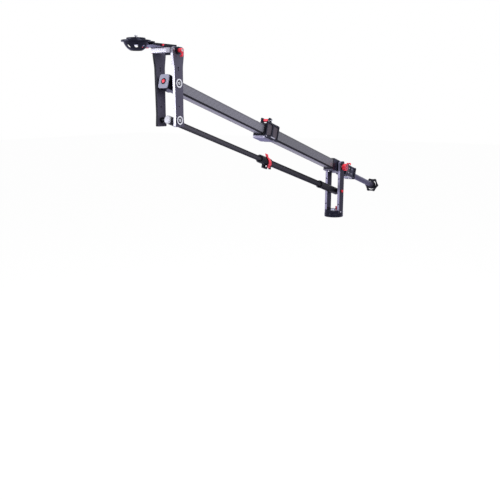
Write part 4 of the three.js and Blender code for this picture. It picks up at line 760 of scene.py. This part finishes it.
class JIB_OT_yoke(bpy.types.Operator):
    """Two yoke plates with their screws, the tilt axle, its lock knob and the lower axle"""
    bl_idname = "jib.yoke"
    bl_label = "Yoke"

    def execute(self, context):
        (x0, y0, z0), (x1, y1, z1) = extent("yoke_plate_left")
        face = y1 + GAP
        foot_corner, crown_corner, tilt_bore, axle_bore = 1, 13, 6.3, 5.3
        corners = np.array([foot_corner, foot_corner, crown_corner, crown_corner])
        outline = rounded([[x0, z0], [x1, z0], [x1, z1], [x0, z1]], corners)
        bores = [circle(tilt_bore, 0, UPPER_PIVOT), circle(axle_bore, 0, LOWER_PIVOT)]
        left = put(plate(outline, y0, y1, 0.8, holes=bores), UPRIGHT)
        # The yoke plates' marked edges get a pale painted highlight
        mark_edges(piece("yoke_plate_near", left, WORLD, "pan", SMOKE, "yoke_plate_left"))
        mark_edges(piece("yoke_plate_far", put(left, MIRROR), WORLD, "pan", SMOKE, "yoke_plate_right"))
        # Cross screws of the front edges, one above the other, sunk in a ring
        sunk = socket_screw(2.7, 1.0) + washer(3.4, 2.7, 0, 0.5, 0.15)
        screws = [put(sunk, moved(x1 - 0.2, (y0 + y1) / 2, height) @ ALONG_X) for height in (192, 65)]
        piece("yoke_edge_screws", both_sides(sum(screws, [])), WORLD, "pan", BLACK)
        for side, sign, way in (("left", 1, ALONG_Y), ("right", -1, ALONG_MINUS_Y)):
            for end in ("rear", "front"):
                node = f"foot_screw_{side}_{end}"
                screw_head(node + "_head", node, WORLD, 1, sign * face, way, 5, 21, "pan")
        pivot = moved(z=UPPER_PIVOT)
        head = put(socket_screw(11, 6), moved(y=-face) @ ALONG_MINUS_Y)
        axle = put(disc(6, -face, face + 12), ALONG_Y) + head
        piece("tilt_axle_bolt", axle, pivot, "pan", STEEL, "tilt_axle")
        ring = washer(12, tilt_bore, face, y1 + 2.1)
        piece("tilt_washer", ring, pivot @ ALONG_Y, "pan", STEEL, "tilt_knob_washer")
        depth = context.scene.jib_sizes.flute_depth / MM
        (_, foot, _), (radius, crown, _) = extent("tilt_lock_knob")
        neck = washer(13, tilt_bore, foot, foot + 6, 0.6)
        knob = fluted(radius, foot + 5, crown, 8, depth, 1.6) + neck
        piece("tilt_lock_grip", knob, pivot @ ALONG_Y, "tilt_lock", RED, "tilt_lock_knob")
        inset, core = radius * 0.6, radius * 0.34
        ring = put(washer(inset, core, crown - 1, crown + 0.6), ALONG_Y)
        piece("tilt_lock_ring", ring, pivot, "tilt_lock", GREY)
        piece("tilt_lock_cap", put(disc(core, crown - 1, crown + 0.8), ALONG_Y), pivot, "tilt_lock", RED)
        end = put(socket_screw(6.4, 7), moved(0, face, LOWER_PIVOT) @ ALONG_Y)
        shaft = put(disc(5, -face, face), moved(0, 0, LOWER_PIVOT) @ ALONG_Y)
        piece("lower_axle_bolt", both_sides(end) + shaft, WORLD, "pan", RED, "lower_axle")
        return {"FINISHED"}


# Upper arm


class JIB_OT_joint_block(bpy.types.Operator):
    """Block that turns on the yoke and carries the rear tube"""
    bl_idname = "jib.joint_block"
    bl_label = "Joint block"

    def execute(self, context):
        dress(BLACK, "arm_joint_block")
        face = shoe("joint_block_shoe", "joint_block_plate", GREY, 0.6) - GAP
        screw_head("joint_shoe_screw", "joint_plate_screw", UPPER, 2, face, DOWN, 4.4, 6, "boom")
        return {"FINISHED"}


def banded(outline, near=(2.6, 1.6)):
    """A rounded rectangle's outline with points at two distances from each corner's arc on both its sides."""
    arcs = outline.reshape(4, -1, 2)
    side = arcs[:, 0] - np.roll(arcs[:, -1], 1, 0)
    side = (side / np.linalg.norm(side, axis=1)[:, None])[:, None]
    away = np.array(near)[None, :, None]
    before, after = arcs[:, :1] - side * away, arcs[:, -1:] + np.roll(side, -1, 0) * away[:, ::-1]
    return np.concatenate([before, arcs, after], 1).reshape(-1, 2)


def mark_corner_shade(tube, flat):
    """Sets a square tube's corner value, a painted dark reflection along its rounded corners, where both
    sides are further out than flat: one below, and a third above."""
    local = local_points(tube.data, UPPER)
    dark_reflection = np.where(local[:, 2] < 0, 1, 0.33)
    mark(tube.data, "corner", "POINT", (np.abs(local[:, 1:]).min(1) > flat) * dark_reflection)


class JIB_OT_tubes(bpy.types.Operator):
    """Square and round carbon tubes of both arms"""
    bl_idname = "jib.tubes"
    bl_label = "Carbon tubes"

    def execute(self, context):
        for name, node, wall, corner, body, kind in (
            ("square_tube_rear", "arm_tube_rear", 3, 5, "boom", CARBON),
            ("square_tube_front", "arm_tube_front", 2.4, 4, "boom_extension", LIT_CARBON),
        ):
            (x0, y0, _), (x1, y1, _) = extent(node, UPPER)
            outer = banded(rectangle(y0, y1, y0, y1, corner))
            low, high, bend = y0 + wall, y1 - wall, max(corner - wall / 2, 1)
            inner = banded(rectangle(low, high, low, high, bend))
            made = piece(name, pipe(outer, inner, x0, x1), UPPER, body, kind, node)
            mark_corner_shade(made, y1 - corner - 2)
        for name, node, wall, body in (
            ("round_tube_rear", "lower_tube_rear", 2.3, "lower_arm"),
            ("round_tube_front", "lower_tube_front", 2, "lower_extension"),
        ):
            low, high = extent(node, LOWER)
            outer, inner = circle(high[1], sides=SIDES), circle(high[1] - wall, sides=SIDES)
            piece(name, pipe(outer, inner, low[0], high[0]), LOWER, body, WOUND, node)
        return {"FINISHED"}


class JIB_OT_mid_clamp(bpy.types.Operator):
    """Clamp that locks the square telescope, with its gasket and lever"""
    bl_idname = "jib.mid_clamp"
    bl_label = "Middle clamp"

    def execute(self, context):
        dress(BLACK, "mid_clamp_shell_left", "mid_clamp_shell_right")
        shoe("mid_clamp_shoe", "mid_clamp_base_plate", LIGHT, 0.8)
        reach = 20
        opening = rectangle(-reach, reach, -reach, reach, 4)
        under, _ = cross_plate("mid_clamp_seal", "mid_clamp_gasket", 5, 0.8, opening, "boom", RUBBER)
        boss, bolt_end, pivot = 20, 22.3, UPPER @ moved(678, 0, 46)
        place = pivot @ moved(0, -boss / 2, 0) @ turned(-168, "Y") @ ALONG_Y
        piece("mid_lever_handle", lever(boss), place, "mid_lever", RED, "mid_clamp_lever")
        head = put(socket_screw(5, 4), moved(z=bolt_end))
        bolt = disc(2.6, -bolt_end, bolt_end) + head + put(head, DOWN)
        piece("mid_lever_bolt", put(bolt, ALONG_Y), pivot, "mid_lever", STEEL)
        low, high = extent("mid_clamp_shell_left", UPPER)
        cheek_top, side, front = 36, high[1], high[0]
        # Clamp screws on the shells' upper cheeks
        screws = [put(socket_screw(3.4, 1.6), moved(x, 28, cheek_top)) for x in (628, 702)]
        piece("mid_clamp_screws", both_sides(sum(screws, [])), UPPER, "boom", STEEL)
        floors = pocket_floors(low[0], front, low[2], cheek_top, side)
        piece("mid_clamp_pocket_floors", floors, UPPER, "boom", FLOORS)
        # A light grey plate on the front's lower strip, painted light on that face, and silver strips and
        # discs low on each side and at the front's lower corners, painted highlights
        painted_lit_face = plate(rectangle(-29, 29, -36, under[2] - 0.5, 1), front + 0.1, front + 0.9, 0.2)
        piece("mid_clamp_facing", painted_lit_face, UPPER @ ALONG_X, "boom", LIGHT)
        slot = put(plate(rectangle(640, 672, -22.5, -18, 2), side - 0.2, side + 0.4, 0.15), UPRIGHT)
        on_side = put(disc(2.8, side - 0.4, side + 0.8), moved(706, 0, -25) @ ALONG_Y)
        on_front = put(disc(2.8, 0, 1.2), moved(front + 0.4, 24, -30.5) @ ALONG_X)
        piece("mid_clamp_bright_work", both_sides(slot + on_side + on_front), UPPER, "boom", SILVER)
        return {"FINISHED"}


class JIB_OT_rear_clamp(bpy.types.Operator):
    """Clamp of the counterweight bar: side plates, collar, end frame, shoe, screws and lever"""
    bl_idname = "jib.rear_clamp"
    bl_label = "Rear clamp"

    def execute(self, context):
        (x0, y0, z0), (x1, y1, z1) = extent("rear_clamp_side_left", UPPER)
        pockets = [(line, POCKET_DEPTH) for line in pocket_pair(x0, x1, z0, z1)]
        left = put(plate(rectangle(x0, x1, z0, z1, 4), y0, y1, 0.8, pockets=pockets), UPRIGHT)
        piece("rear_clamp_cheek_near", left, UPPER, "boom", BLACK, "rear_clamp_side_left")
        piece("rear_clamp_cheek_far", put(left, MIRROR), UPPER, "boom", BLACK, "rear_clamp_side_right")
        floors = pocket_floors(x0, x1, z0, z1, y1, 1)
        piece("rear_clamp_pocket_floors", floors, UPPER, "boom", FLOORS)
        dress(BLACK, "rear_clamp_collar")
        bore, inset, across = circle(14.4, sides=SIDES), 7, 22
        low, high = cross_plate("rear_end_frame", "rear_clamp_end_frame", 5, 0.8, bore, "boom", BLACK)
        head = put(socket_screw(3.6, 2.2), ALONG_X @ DOWN)
        heads = [put(head, moved(low[0], across, z)) for z in (low[2] + inset, high[2] - inset)]
        piece("rear_clamp_screws", both_sides(sum(heads, [])), UPPER, "boom", STEEL)
        # Four bright pins stand on the floors of each cheek's pockets, nearly level with its face
        pin = put(disc(3.4, 24.4, 28.4), ALONG_Y)
        pins = [put(pin, moved(x, 0, z)) for x in (-138, -108) for z in (-7, 16)]
        piece("rear_clamp_pins", both_sides(sum(pins, [])), UPPER, "boom", SILVER)
        face = shoe("rear_clamp_shoe", "rear_clamp_base_plate", SILVER, 0.8) - GAP
        screw_head("rear_shoe_screw", "rear_plate_screw", UPPER, 2, face, DOWN, 4.4, 0, "boom")
        place = UPPER @ moved(-137.2, 0, 31.3) @ turned(55, "Z")
        screwed_lever("rear_lever_handle", "rear_lever_screw", place, "rear_lever", "rear_clamp_lever", 30, 8)
        return {"FINISHED"}


class JIB_OT_weight_bar(bpy.types.Operator):
    """Counterweight bar and its hand wheel"""
    bl_idname = "jib.weight_bar"
    bl_label = "Counterweight bar"

    def execute(self, context):
        (start, _, _), (end, radius, _) = extent("weight_bar", UPPER)
        bore, chamfer = radius - 2.5, 0.8
        bar = revolved([[bore, start], [radius - chamfer, start], [radius, start + chamfer],
            [radius, end - chamfer], [radius - chamfer, end], [bore, end]], 0.3, closed=True)
        piece("weight_bar_tube", bar, UPPER @ ALONG_X, "counterweight_bar", GREY, "weight_bar")
        low, high = extent("bar_hand_wheel", UPPER)
        # The wheel's radius at angle a is 33 + 6 times a bump that repeats six times, and three windows
        # between the hub and the rim leave three spokes
        a = once_round(SIDES * 3)
        outline = polar(33 + 6 * (0.5 + 0.5 * np.cos(6 * a)) ** 2.2, a)
        hub, rim, half_spoke = 21.8, 26, 0.42
        third = np.linspace(half_spoke, TAU / 3 - half_spoke, 12) + TAU / 4
        arcs = [third + start for start in once_round(3)]
        windows = [np.concatenate([polar(hub, arc[::-1]), polar(rim, arc)]) for arc in arcs]
        wheel = plate(outline, low[0], high[0], 1.4, holes=[circle(14.3, sides=SIDES), *windows])
        piece("hand_wheel", wheel, UPPER @ ALONG_X, "bar_wheel", NYLON, "bar_hand_wheel")
        return {"FINISHED"}


class JIB_OT_arm_front(bpy.types.Operator):
    """Front block of the upper arm with its pale cap and red button"""
    bl_idname = "jib.arm_front"
    bl_label = "Arm front"

    def execute(self, context):
        half_width, half_height, half_spigot = 20.5, 23.5, 16.9
        block = rectangle(-half_width, half_width, -half_height, half_height, 4)
        block = plate(block, ARM_LENGTH - 24, ARM_LENGTH + 22, 0.6)
        spigot = rectangle(-half_spigot, half_spigot, -half_spigot, half_spigot, 3)
        spigot = plate(spigot, ARM_LENGTH - 70, ARM_LENGTH - 20, 0.4)
        hubs = put(disc(9, -HALF_HUB, HALF_HUB), moved(ARM_LENGTH) @ ALONG_Y)
        block = put(block + spigot, ALONG_X) + hubs
        body, across = "boom_extension", UPPER @ ALONG_X
        piece("front_block", block, UPPER, body, BLACK, "arm_front_block")
        cross_plate("front_cap", "arm_front_cap", 9, 1.0, circle(9.8), body, GREY_ACETAL)
        (low, _, _), (high, _, _) = extent("arm_front_button", UPPER)
        radius = 6.6
        button = revolved([[0, low], [radius, low], [radius, high - 1.2], [radius - 1, high],
            [0, high + 0.2]], 0.6)
        piece("front_button", button, across, body, RED, "arm_front_button")
        piece("front_button_collar", washer(9.5, 6.8, low, high - 1), across, body, BLACK)
        return {"FINISHED"}


# Lower arm


class JIB_OT_lower_arm(bpy.types.Operator):
    """Moulded coupling, clamp, flip lever and front fitting of the lower arm"""
    bl_idname = "jib.lower_arm"
    bl_label = "Lower arm"

    def execute(self, context):
        sleeve = revolved([[0, -22], [15.5, -22], [17, -20.5], [17, 40], [16.4, 41], [16.4, 43], [17, 44],
            [17, 158], [18.2, 160], [18.2, 172], [13.6, 172], [13.6, 30], [0, 30]], 0.8)
        hubs = put(disc(12, -27.7, 27.7), ALONG_Y)
        piece("lower_sleeve", put(sleeve, ALONG_X) + hubs, LOWER, "lower_arm", NYLON, "lower_coupling")
        dress(NYLON, "lower_clamp_collar")
        recolour(STEEL, "lower_clamp_pin")
        # The fitting and its cap are drawn from the head's lower pivot
        end = LOWER @ moved(ARM_LENGTH)
        fitting = revolved([[0, -8], [10.8, -8], [10.8, -30], [14, -30], [14, -22], [13.4, -21], [13.4, -19],
            [14, -18], [14, 4.6], [12, 4.6], [0, 8]], 0.6)
        hubs = put(disc(9, -HALF_HUB, HALF_HUB), ALONG_Y)
        fitting = put(fitting, ALONG_X) + hubs
        piece("lower_end_fitting", fitting, end, "lower_extension", NYLON, "lower_front_fitting")
        cap = revolved([[0, 7], [10, 4.8], [14, 4.8], [14, 10.5], [11, 13.6], [0, 14.4]], 2)
        piece("lower_end_cap", cap, end @ ALONG_X, "lower_extension", ACETAL)
        piece("flip_lever", flip_lever(), LOWER, "lower_lever", RED, "lower_clamp_lever")
        return {"FINISHED"}


def flip_lever():
    """A rounded strip 20 mm wide carried round the collar from below to its upper side and then straight
    up. Above the band's foot every point moves forward by 0.75 of its height over the foot. A round eye
    along X joins its root to the pin."""
    inner, thick, x0, x1, lean = 17.4, 3.4, 646.3, 666.3, 0.75
    a = np.radians(np.linspace(-70, 62, 25))
    line, out = polar(inner, a), polar(1, a)
    line = np.concatenate([line, line[-1:] + [[0, 3]], line[-1:] + [[0, 12]]])
    out = np.concatenate([out, [[0.8, 0.6], [1, 0]]])
    out /= np.linalg.norm(out, axis=1)[:, None]
    section = rectangle(0, thick, x0, x1, 1.2)
    points = np.concatenate([
        np.broadcast_to(section[None, :, 1:], (len(line), len(section), 1)),
        line[:, None, :] + out[:, None, :] * section[None, :, :1]], -1)
    foot = inner * np.sin(np.radians(-36))
    points[..., 0] += lean * np.maximum(points[..., 2] - foot, 0)
    eye = revolved([[2.3, x0], [4.6, x0], [4.6, x1], [2.3, x1]], 0.4, closed=True)
    return [skin(points, ends=True)] + put(eye, moved(0, 9, -21) @ ALONG_X)


# Head, platform and bowl


class JIB_OT_head(bpy.types.Operator):
    """Two head plates and the two axles with their bearing rings"""
    bl_idname = "jib.head"
    bl_label = "Camera head"

    def execute(self, context):
        half = np.array([[22.2, -141.5], [22.2, -134], [19.7, -100], [21.7, 52], [28, 90], [28, 116]])
        outline = np.concatenate([half, half[::-1] * [-1, 1]]) + [-2, 0]
        radius = np.array([5, 3, 6, 6, 6, 14])
        outline = rounded(outline, np.concatenate([radius, radius[::-1]]))
        holes = [circle(r, x, z) for r, x, z in ((4.3, 0, 0), (4.3, 0, -PIVOT_SPACING), (3.3, *TILT_BOLT),
            (3.2, 0, 49), (3.2, 0, 41), (3.2, 0, -76))]
        left = put(plate(outline, AXLE_FACE - GAP - 10, AXLE_FACE - GAP, 0.8, holes=holes), UPRIGHT)
        # The near plate's marked edges get a painted highlight, the far plate's painted shade
        mark_edges(piece("head_plate_near", left, HEAD, "head", HIGHLIGHT_EDGED, "head_plate_left"))
        mark_edges(piece("head_plate_far", put(left, MIRROR), HEAD, "head", SHADE_EDGED, "head_plate_right"))
        face = AXLE_FACE
        ring = revolved([[10, face], [14.5, face], [14.5, face + 2.6], [10.4, face + 2.6], [10, face + 2.2]],
            0.3, closed=True)
        axle = both_sides(put(ring, ALONG_Y)) + put(disc(4, -face, face), ALONG_Y)
        cover = revolved([[0, face], [9.8, face], [9.8, face + 1.2], [8, face + 1.6], [0, face + 1.6]], 0.3)
        screw = put(socket_screw(5.6, 1), moved(z=face + 1.5))
        for node, z in (("head_upper_axle", 0), ("head_lower_axle", -PIVOT_SPACING)):
            place = HEAD @ moved(z=z)
            piece(node + "_rings", axle, place, "head", ACETAL, node)
            piece(node + "_covers", both_sides(put(cover, ALONG_Y)), place, "head", BLACK)
            piece(node + "_screws", both_sides(put(screw, ALONG_Y)), place, "head", STEEL)
        pins = put(socket_screw(3.4, 1.2), moved(19, face - GAP - 0.1, 107) @ ALONG_Y)
        piece("head_corner_screws", both_sides(pins), HEAD, "head", STEEL)
        return {"FINISHED"}


class JIB_OT_platform(bpy.types.Operator):
    """Tilting camera platform, its hinge block, tilt bolt and latch"""
    bl_idname = "jib.platform"
    bl_label = "Camera platform"

    def execute(self, context):
        half_hinge, half_under = 33.6, 30
        hinge = put(plate(rectangle(-9, 44, 96, 112, 1.5), -half_hinge, half_hinge, 0.8), UPRIGHT)
        piece("hinge_bar", hinge, HEAD, "platform", SILVER, "platform_hinge_block")
        dress(BLACK, "camera_platform")
        # A thin plate on the sloping underside, and a black pin along the hinge bar's lower face that puts
        # painted shadow under the bar
        under = np.array([[52, 112.1], [103, 116.4], [103, 117.2], [52, 112.9]])
        under = put(plate(under, -half_under, half_under, 0.1), UPRIGHT)
        piece("platform_underplate", under, HEAD, "platform", LIGHT)
        pin = put(disc(3.6, 8, half_under), moved(20, 0, 92.6) @ ALONG_Y)
        piece("hinge_stop_pin", pin, HEAD, "platform", BLACK)
        low, high = extent("latch_block", HEAD)
        block = plate(rectangle(low[0], high[0], low[2], high[2], 1.5), low[1], high[1], 0.6)
        piece("latch_bar", put(block, UPRIGHT), HEAD, "platform", BLACK, "latch_block")
        face = low[1] - GAP
        for node in ("latch_screw_rear", "latch_screw_front"):
            screw_head(node + "_head", node, HEAD, 1, face, ALONG_MINUS_Y, 4.4, 0, "platform")
        tilt = HEAD @ moved(TILT_BOLT[0], 0, TILT_BOLT[1])
        lever_foot, bolt_end, shaft = AXLE_FACE + 5.3, 64.2, 65
        end = put(socket_screw(4.6, 1.6), ALONG_Y @ moved(z=bolt_end))
        bolt = both_sides(end) + put(disc(3, -shaft, shaft), ALONG_Y)
        piece("tilt_bolt_ends", bolt, tilt, "platform", STEEL, "tilt_bolt")
        washers = put(washer(12, 3, AXLE_FACE, AXLE_FACE + 5, 0.6), ALONG_Y)
        piece("tilt_washers", both_sides(washers), tilt, "platform", BLACK)
        handle = put(lever(LEVER_BOSS, 21), moved(y=lever_foot) @ turned(100, "Y") @ ALONG_Y)
        piece("tilt_lever_near", handle, tilt, "tilt_lever_l", RED, "tilt_lever_left")
        piece("tilt_lever_far", put(handle, MIRROR), tilt, "tilt_lever_r", RED, "tilt_lever_right")
        pivot = HEAD @ moved(64, 0, 117.6)
        place = pivot @ moved(y=face) @ turned(172, "Y") @ ALONG_MINUS_Y
        screwed_lever("latch_handle", "latch_screw", place, "latch", "latch_lever", 25, 74)
        knob = fluted(2.8, 33.9, 40.4, 12, 0.2, 0.6)
        piece("latch_knob", knob, pivot @ ALONG_Y, "latch", RED)
        return {"FINISHED"}


class JIB_OT_bowl(bpy.types.Operator):
    """Levelling bowl, the ball plate in it and the camera screw"""
    bl_idname = "jib.bowl"
    bl_label = "Levelling bowl"

    def execute(self, context):
        place = HEAD @ moved(x=BOWL_REACH)
        centre, outer, inner, floor, base, top = 132.6, 40.5, 37.5, 96.6, 122.6, 127.6
        flange, tongue, window_height, window, windows = 46.5, 24, 108.6, 7, 8
        wall = bowl_wall(centre, outer, inner, floor, base + 1, window_height, window, windows)
        seat = np.sqrt(inner**2 - (centre - top) ** 2)
        rim = revolved([[seat - 1, base + 0.4], [outer - 2, base], [flange, base], [flange, top],
            [seat, top]], 0.7, SIDES * 2, closed=True)
        arm = plate(rectangle(86 - BOWL_REACH, -outer + 2, -tongue, tongue, 2), base, top, 0.8)
        piece("bowl", wall + rim + arm, place, "platform", BLACK, "camera_bowl")
        ball, bore, low, plate_top = 36.6, 5.06, top - 9, top + 7
        heights = np.linspace(low, top, 8)
        skirt = np.stack([np.sqrt(ball**2 - (centre - heights) ** 2), heights], -1)
        deck = [[30, top + 0.4], [30, plate_top - 1], [29, plate_top], [bore, plate_top]]
        profile = np.concatenate([[[bore, low]], skirt, deck])
        piece("ball_plate", revolved(profile, 0.5, closed=True), place, "ball", BLACK, "levelling_ball")
        # The thread is drawn as closed rings of crests and roots
        head, crest, root, pitch = low - GAP, 4.76, 4.2, 1.3
        turns = np.arange(plate_top, top + 15, pitch)
        thread = np.stack([np.tile([crest, root], len(turns)), np.repeat(turns, 2)], -1)
        thread[1::2, 1] += pitch / 2
        shank = [[0, head - 5], [11, head - 5], [11, head], [crest, head], [crest, plate_top - 1]]
        tip = [[root, top + 15.6], [3.2, top + 16], [0, top + 16]]
        stud = revolved(np.concatenate([shank, thread, tip]), 0.2)
        piece("camera_stud", stud, place, "screw", STEEL, "camera_screw")
        return {"FINISHED"}


def bowl_wall(centre, outer, inner, floor, top, window_height, window, count):
    """A bowl's wall between two balls round one centre, with round windows. Each of the equal sectors is a
    grid in (turn round Z, angle up from the bottom): it runs from the sector's border to a ring round its
    window on the outer ball, and back on the inner one. Strips close the upper and lower rims."""
    low, high = np.arccos((centre - floor) / outer), np.arccos((centre - top) / outer)
    middle = np.arccos((centre - window_height) / outer)
    half, steps = np.pi / count, 8
    run = np.linspace(-1, 1, steps, endpoint=False)
    across, up = half * run, low + (high - low) * (run + 1) / 2
    turns = np.concatenate([across, np.full(steps, half), -across, np.full(steps, -half)])
    angles = np.concatenate([np.full(steps, low), up, np.full(steps, high), low + high - up])
    border = np.stack([turns, angles], -1)
    away = border - [0, middle]
    scale = np.array([np.sin(middle) * outer, outer])
    away = away * scale / np.linalg.norm(away * scale, axis=1)[:, None]
    ring = [0, middle] + away * [window, window / np.sin(middle)] / scale
    share = np.linspace(0, 1, 5)[:, None, None]
    grid = border + (ring - border) * share
    lower = np.append(border[:steps], [[half, low]], 0)
    upper = np.append(border[2 * steps : 3 * steps], [[-half, high]], 0)

    def on_ball(places, radius, turn):
        a, b = places[..., 0] + turn, places[..., 1]
        return np.concatenate([polar(radius * np.sin(b), a), (centre - radius * np.cos(b))[..., None]], -1)

    walls = []
    for turn in once_round(count):
        walls.append(skin(np.concatenate([on_ball(grid, outer, turn), on_ball(grid[::-1], inner, turn)])))
        for row in (lower, upper):
            strip = np.stack([on_ball(row, outer, turn), on_ball(row, inner, turn)])
            walls.append(skin(strip, around=False))
    return walls


# Stage

# The photo's camera, fitted to the linkage's pivots and edges: millimetres, metres and degrees
LENS, SENSOR = 46.8, 36
CAMERA_PLACE = (2.9340, 1.4841, 0.5687)
CAMERA_TURN = (77.108, 0, 124.263)
FARTHEST_SEEN = 50
# In use the base stands about 1.1 m up, so the floor is that far below and the arm clears it, in metres
FLOOR_HALF, FLOOR_HEIGHT = 24, -1.1
# How bright the floor is to the eye, how much of it is that white, the rest being paint that keeps the
# shadow, and how much light the surroundings give
FLOOR_WHITE, WHITE_SHARE, WORLD_LIGHT = 1.08, 0.88, 0.36


def white_to_camera(tree):
    """One where a camera, glossy or transmission ray looks, so that the background is white there."""
    rays = add(tree, "LightPath").outputs
    seen = rays["Is Camera Ray"]
    for kind in ("Is Glossy Ray", "Is Transmission Ray"):
        seen = add(tree, "Math", {0: seen, 1: rays[kind]}, operation="MAXIMUM")
    return seen


def soft_light(name, place, target, size, power):
    """A square lamp that looks at a target, both in metres."""
    lamp = bpy.data.lights.new(name, "AREA")
    lamp.size, lamp.energy = size, power
    light = bpy.data.objects.new(name, lamp)
    light.location = place
    light.rotation_euler = (Vector(target) - Vector(place)).to_track_quat("-Z", "Y").to_euler()
    bpy.context.scene.collection.objects.link(light)


class JIB_OT_stage(bpy.types.Operator):
    """Camera, floor, soft lamps and white surroundings"""
    bl_idname = "jib.stage"
    bl_label = "Stage"

    def execute(self, context):
        scene = context.scene
        lens = bpy.data.cameras.new("Photo camera")
        lens.lens, lens.sensor_width, lens.clip_end = LENS, SENSOR, FARTHEST_SEEN
        camera = bpy.data.objects.new("Photo camera", lens)
        camera.location = CAMERA_PLACE
        camera.rotation_euler = np.radians(CAMERA_TURN)
        scene.collection.objects.link(camera)
        scene.camera = camera
        scene.view_settings.view_transform = "Standard"

        mesh = bpy.data.meshes.new("Floor")
        around = FLOOR_HALF * np.array([(-1, -1), (1, -1), (1, 1), (-1, 1)])
        mesh.from_pydata([(x, y, FLOOR_HEIGHT) for x, y in around], [], [(0, 1, 2, 3)])
        floor = bpy.data.objects.new("Floor", mesh)
        scene.collection.objects.link(floor)
        material, tree, out = new_material("White studio floor")
        paint = add(tree, "BsdfDiffuse", {"Color": linear("#e6e6e6")})
        seen = add(tree, "LightPath").outputs["Is Camera Ray"]
        hue = add(tree, "Mix", {"Factor": seen, "A": linear("#e9e4ff"), "B": linear("#ffffff")},
            data_type="RGBA")
        white = add(tree, "Emission", {"Color": hue, "Strength": FLOOR_WHITE})
        share = add(tree, "Math", {0: white_to_camera(tree), 1: WHITE_SHARE}, operation="MULTIPLY")
        mix = add(tree, "MixShader", {0: share, 1: paint, 2: white})
        tree.links.new(mix.outputs["Shader"], out.inputs["Surface"])
        mesh.materials.append(material)

        world = bpy.data.worlds.new("White surroundings")
        world.use_nodes = True
        scene.world = world
        tree = world.node_tree
        tree.nodes.clear()
        seen = white_to_camera(tree)
        level = add(tree, "MapRange", {"Value": seen, "To Min": WORLD_LIGHT, "To Max": 1.0})
        sky = add(tree, "Background", {"Color": linear("#ffffff"), "Strength": level})
        add(tree, "OutputWorld", {"Surface": sky})

        soft_light("Key", (3.6, -1.7, 1.0), (0.6, 0, 0.4), 1.8, 66)
        soft_light("Fill", (2.2, 3.0, 1.8), (0.6, 0, 0.4), 1.6, 66)
        soft_light("Top", (0.5, 0.6, 2.9), (0.5, 0, 0.4), 1.6, 56)
        return {"FINISHED"}


BUILDERS = (JIB_OT_stage, JIB_OT_pan_base, JIB_OT_yoke, JIB_OT_joint_block, JIB_OT_tubes, JIB_OT_mid_clamp,
    JIB_OT_rear_clamp, JIB_OT_weight_bar, JIB_OT_arm_front, JIB_OT_lower_arm, JIB_OT_head, JIB_OT_platform,
    JIB_OT_bowl)


class JIB_PT_pieces(bpy.types.Panel):
    """Colours, sizes and pieces of the jib crane"""
    bl_idname = "JIB_PT_pieces"
    bl_label = "Camera jib crane"
    bl_space_type = "VIEW_3D"
    bl_region_type = "UI"
    bl_category = "Jib"

    def draw(self, context):
        for settings in (context.scene.jib_sizes, context.scene.jib_colours):
            for name in settings.__annotations__:
                self.layout.prop(settings, name)
        for builder in BUILDERS:
            self.layout.operator(builder.bl_idname)


CLASSES = (JibSizes, JibColours, *BUILDERS, JIB_PT_pieces)


def register():
    for item in CLASSES:
        bpy.utils.register_class(item)
    bpy.types.Scene.jib_sizes = PointerProperty(type=JibSizes)
    bpy.types.Scene.jib_colours = PointerProperty(type=JibColours)


def unregister():
    del bpy.types.Scene.jib_colours
    del bpy.types.Scene.jib_sizes
    for item in reversed(CLASSES):
        bpy.utils.unregister_class(item)


def main():
    register()
    for builder in BUILDERS:
        group, name = builder.bl_idname.split(".")
        getattr(getattr(bpy.ops, group), name)()


if __name__ == "__main__":
    main()
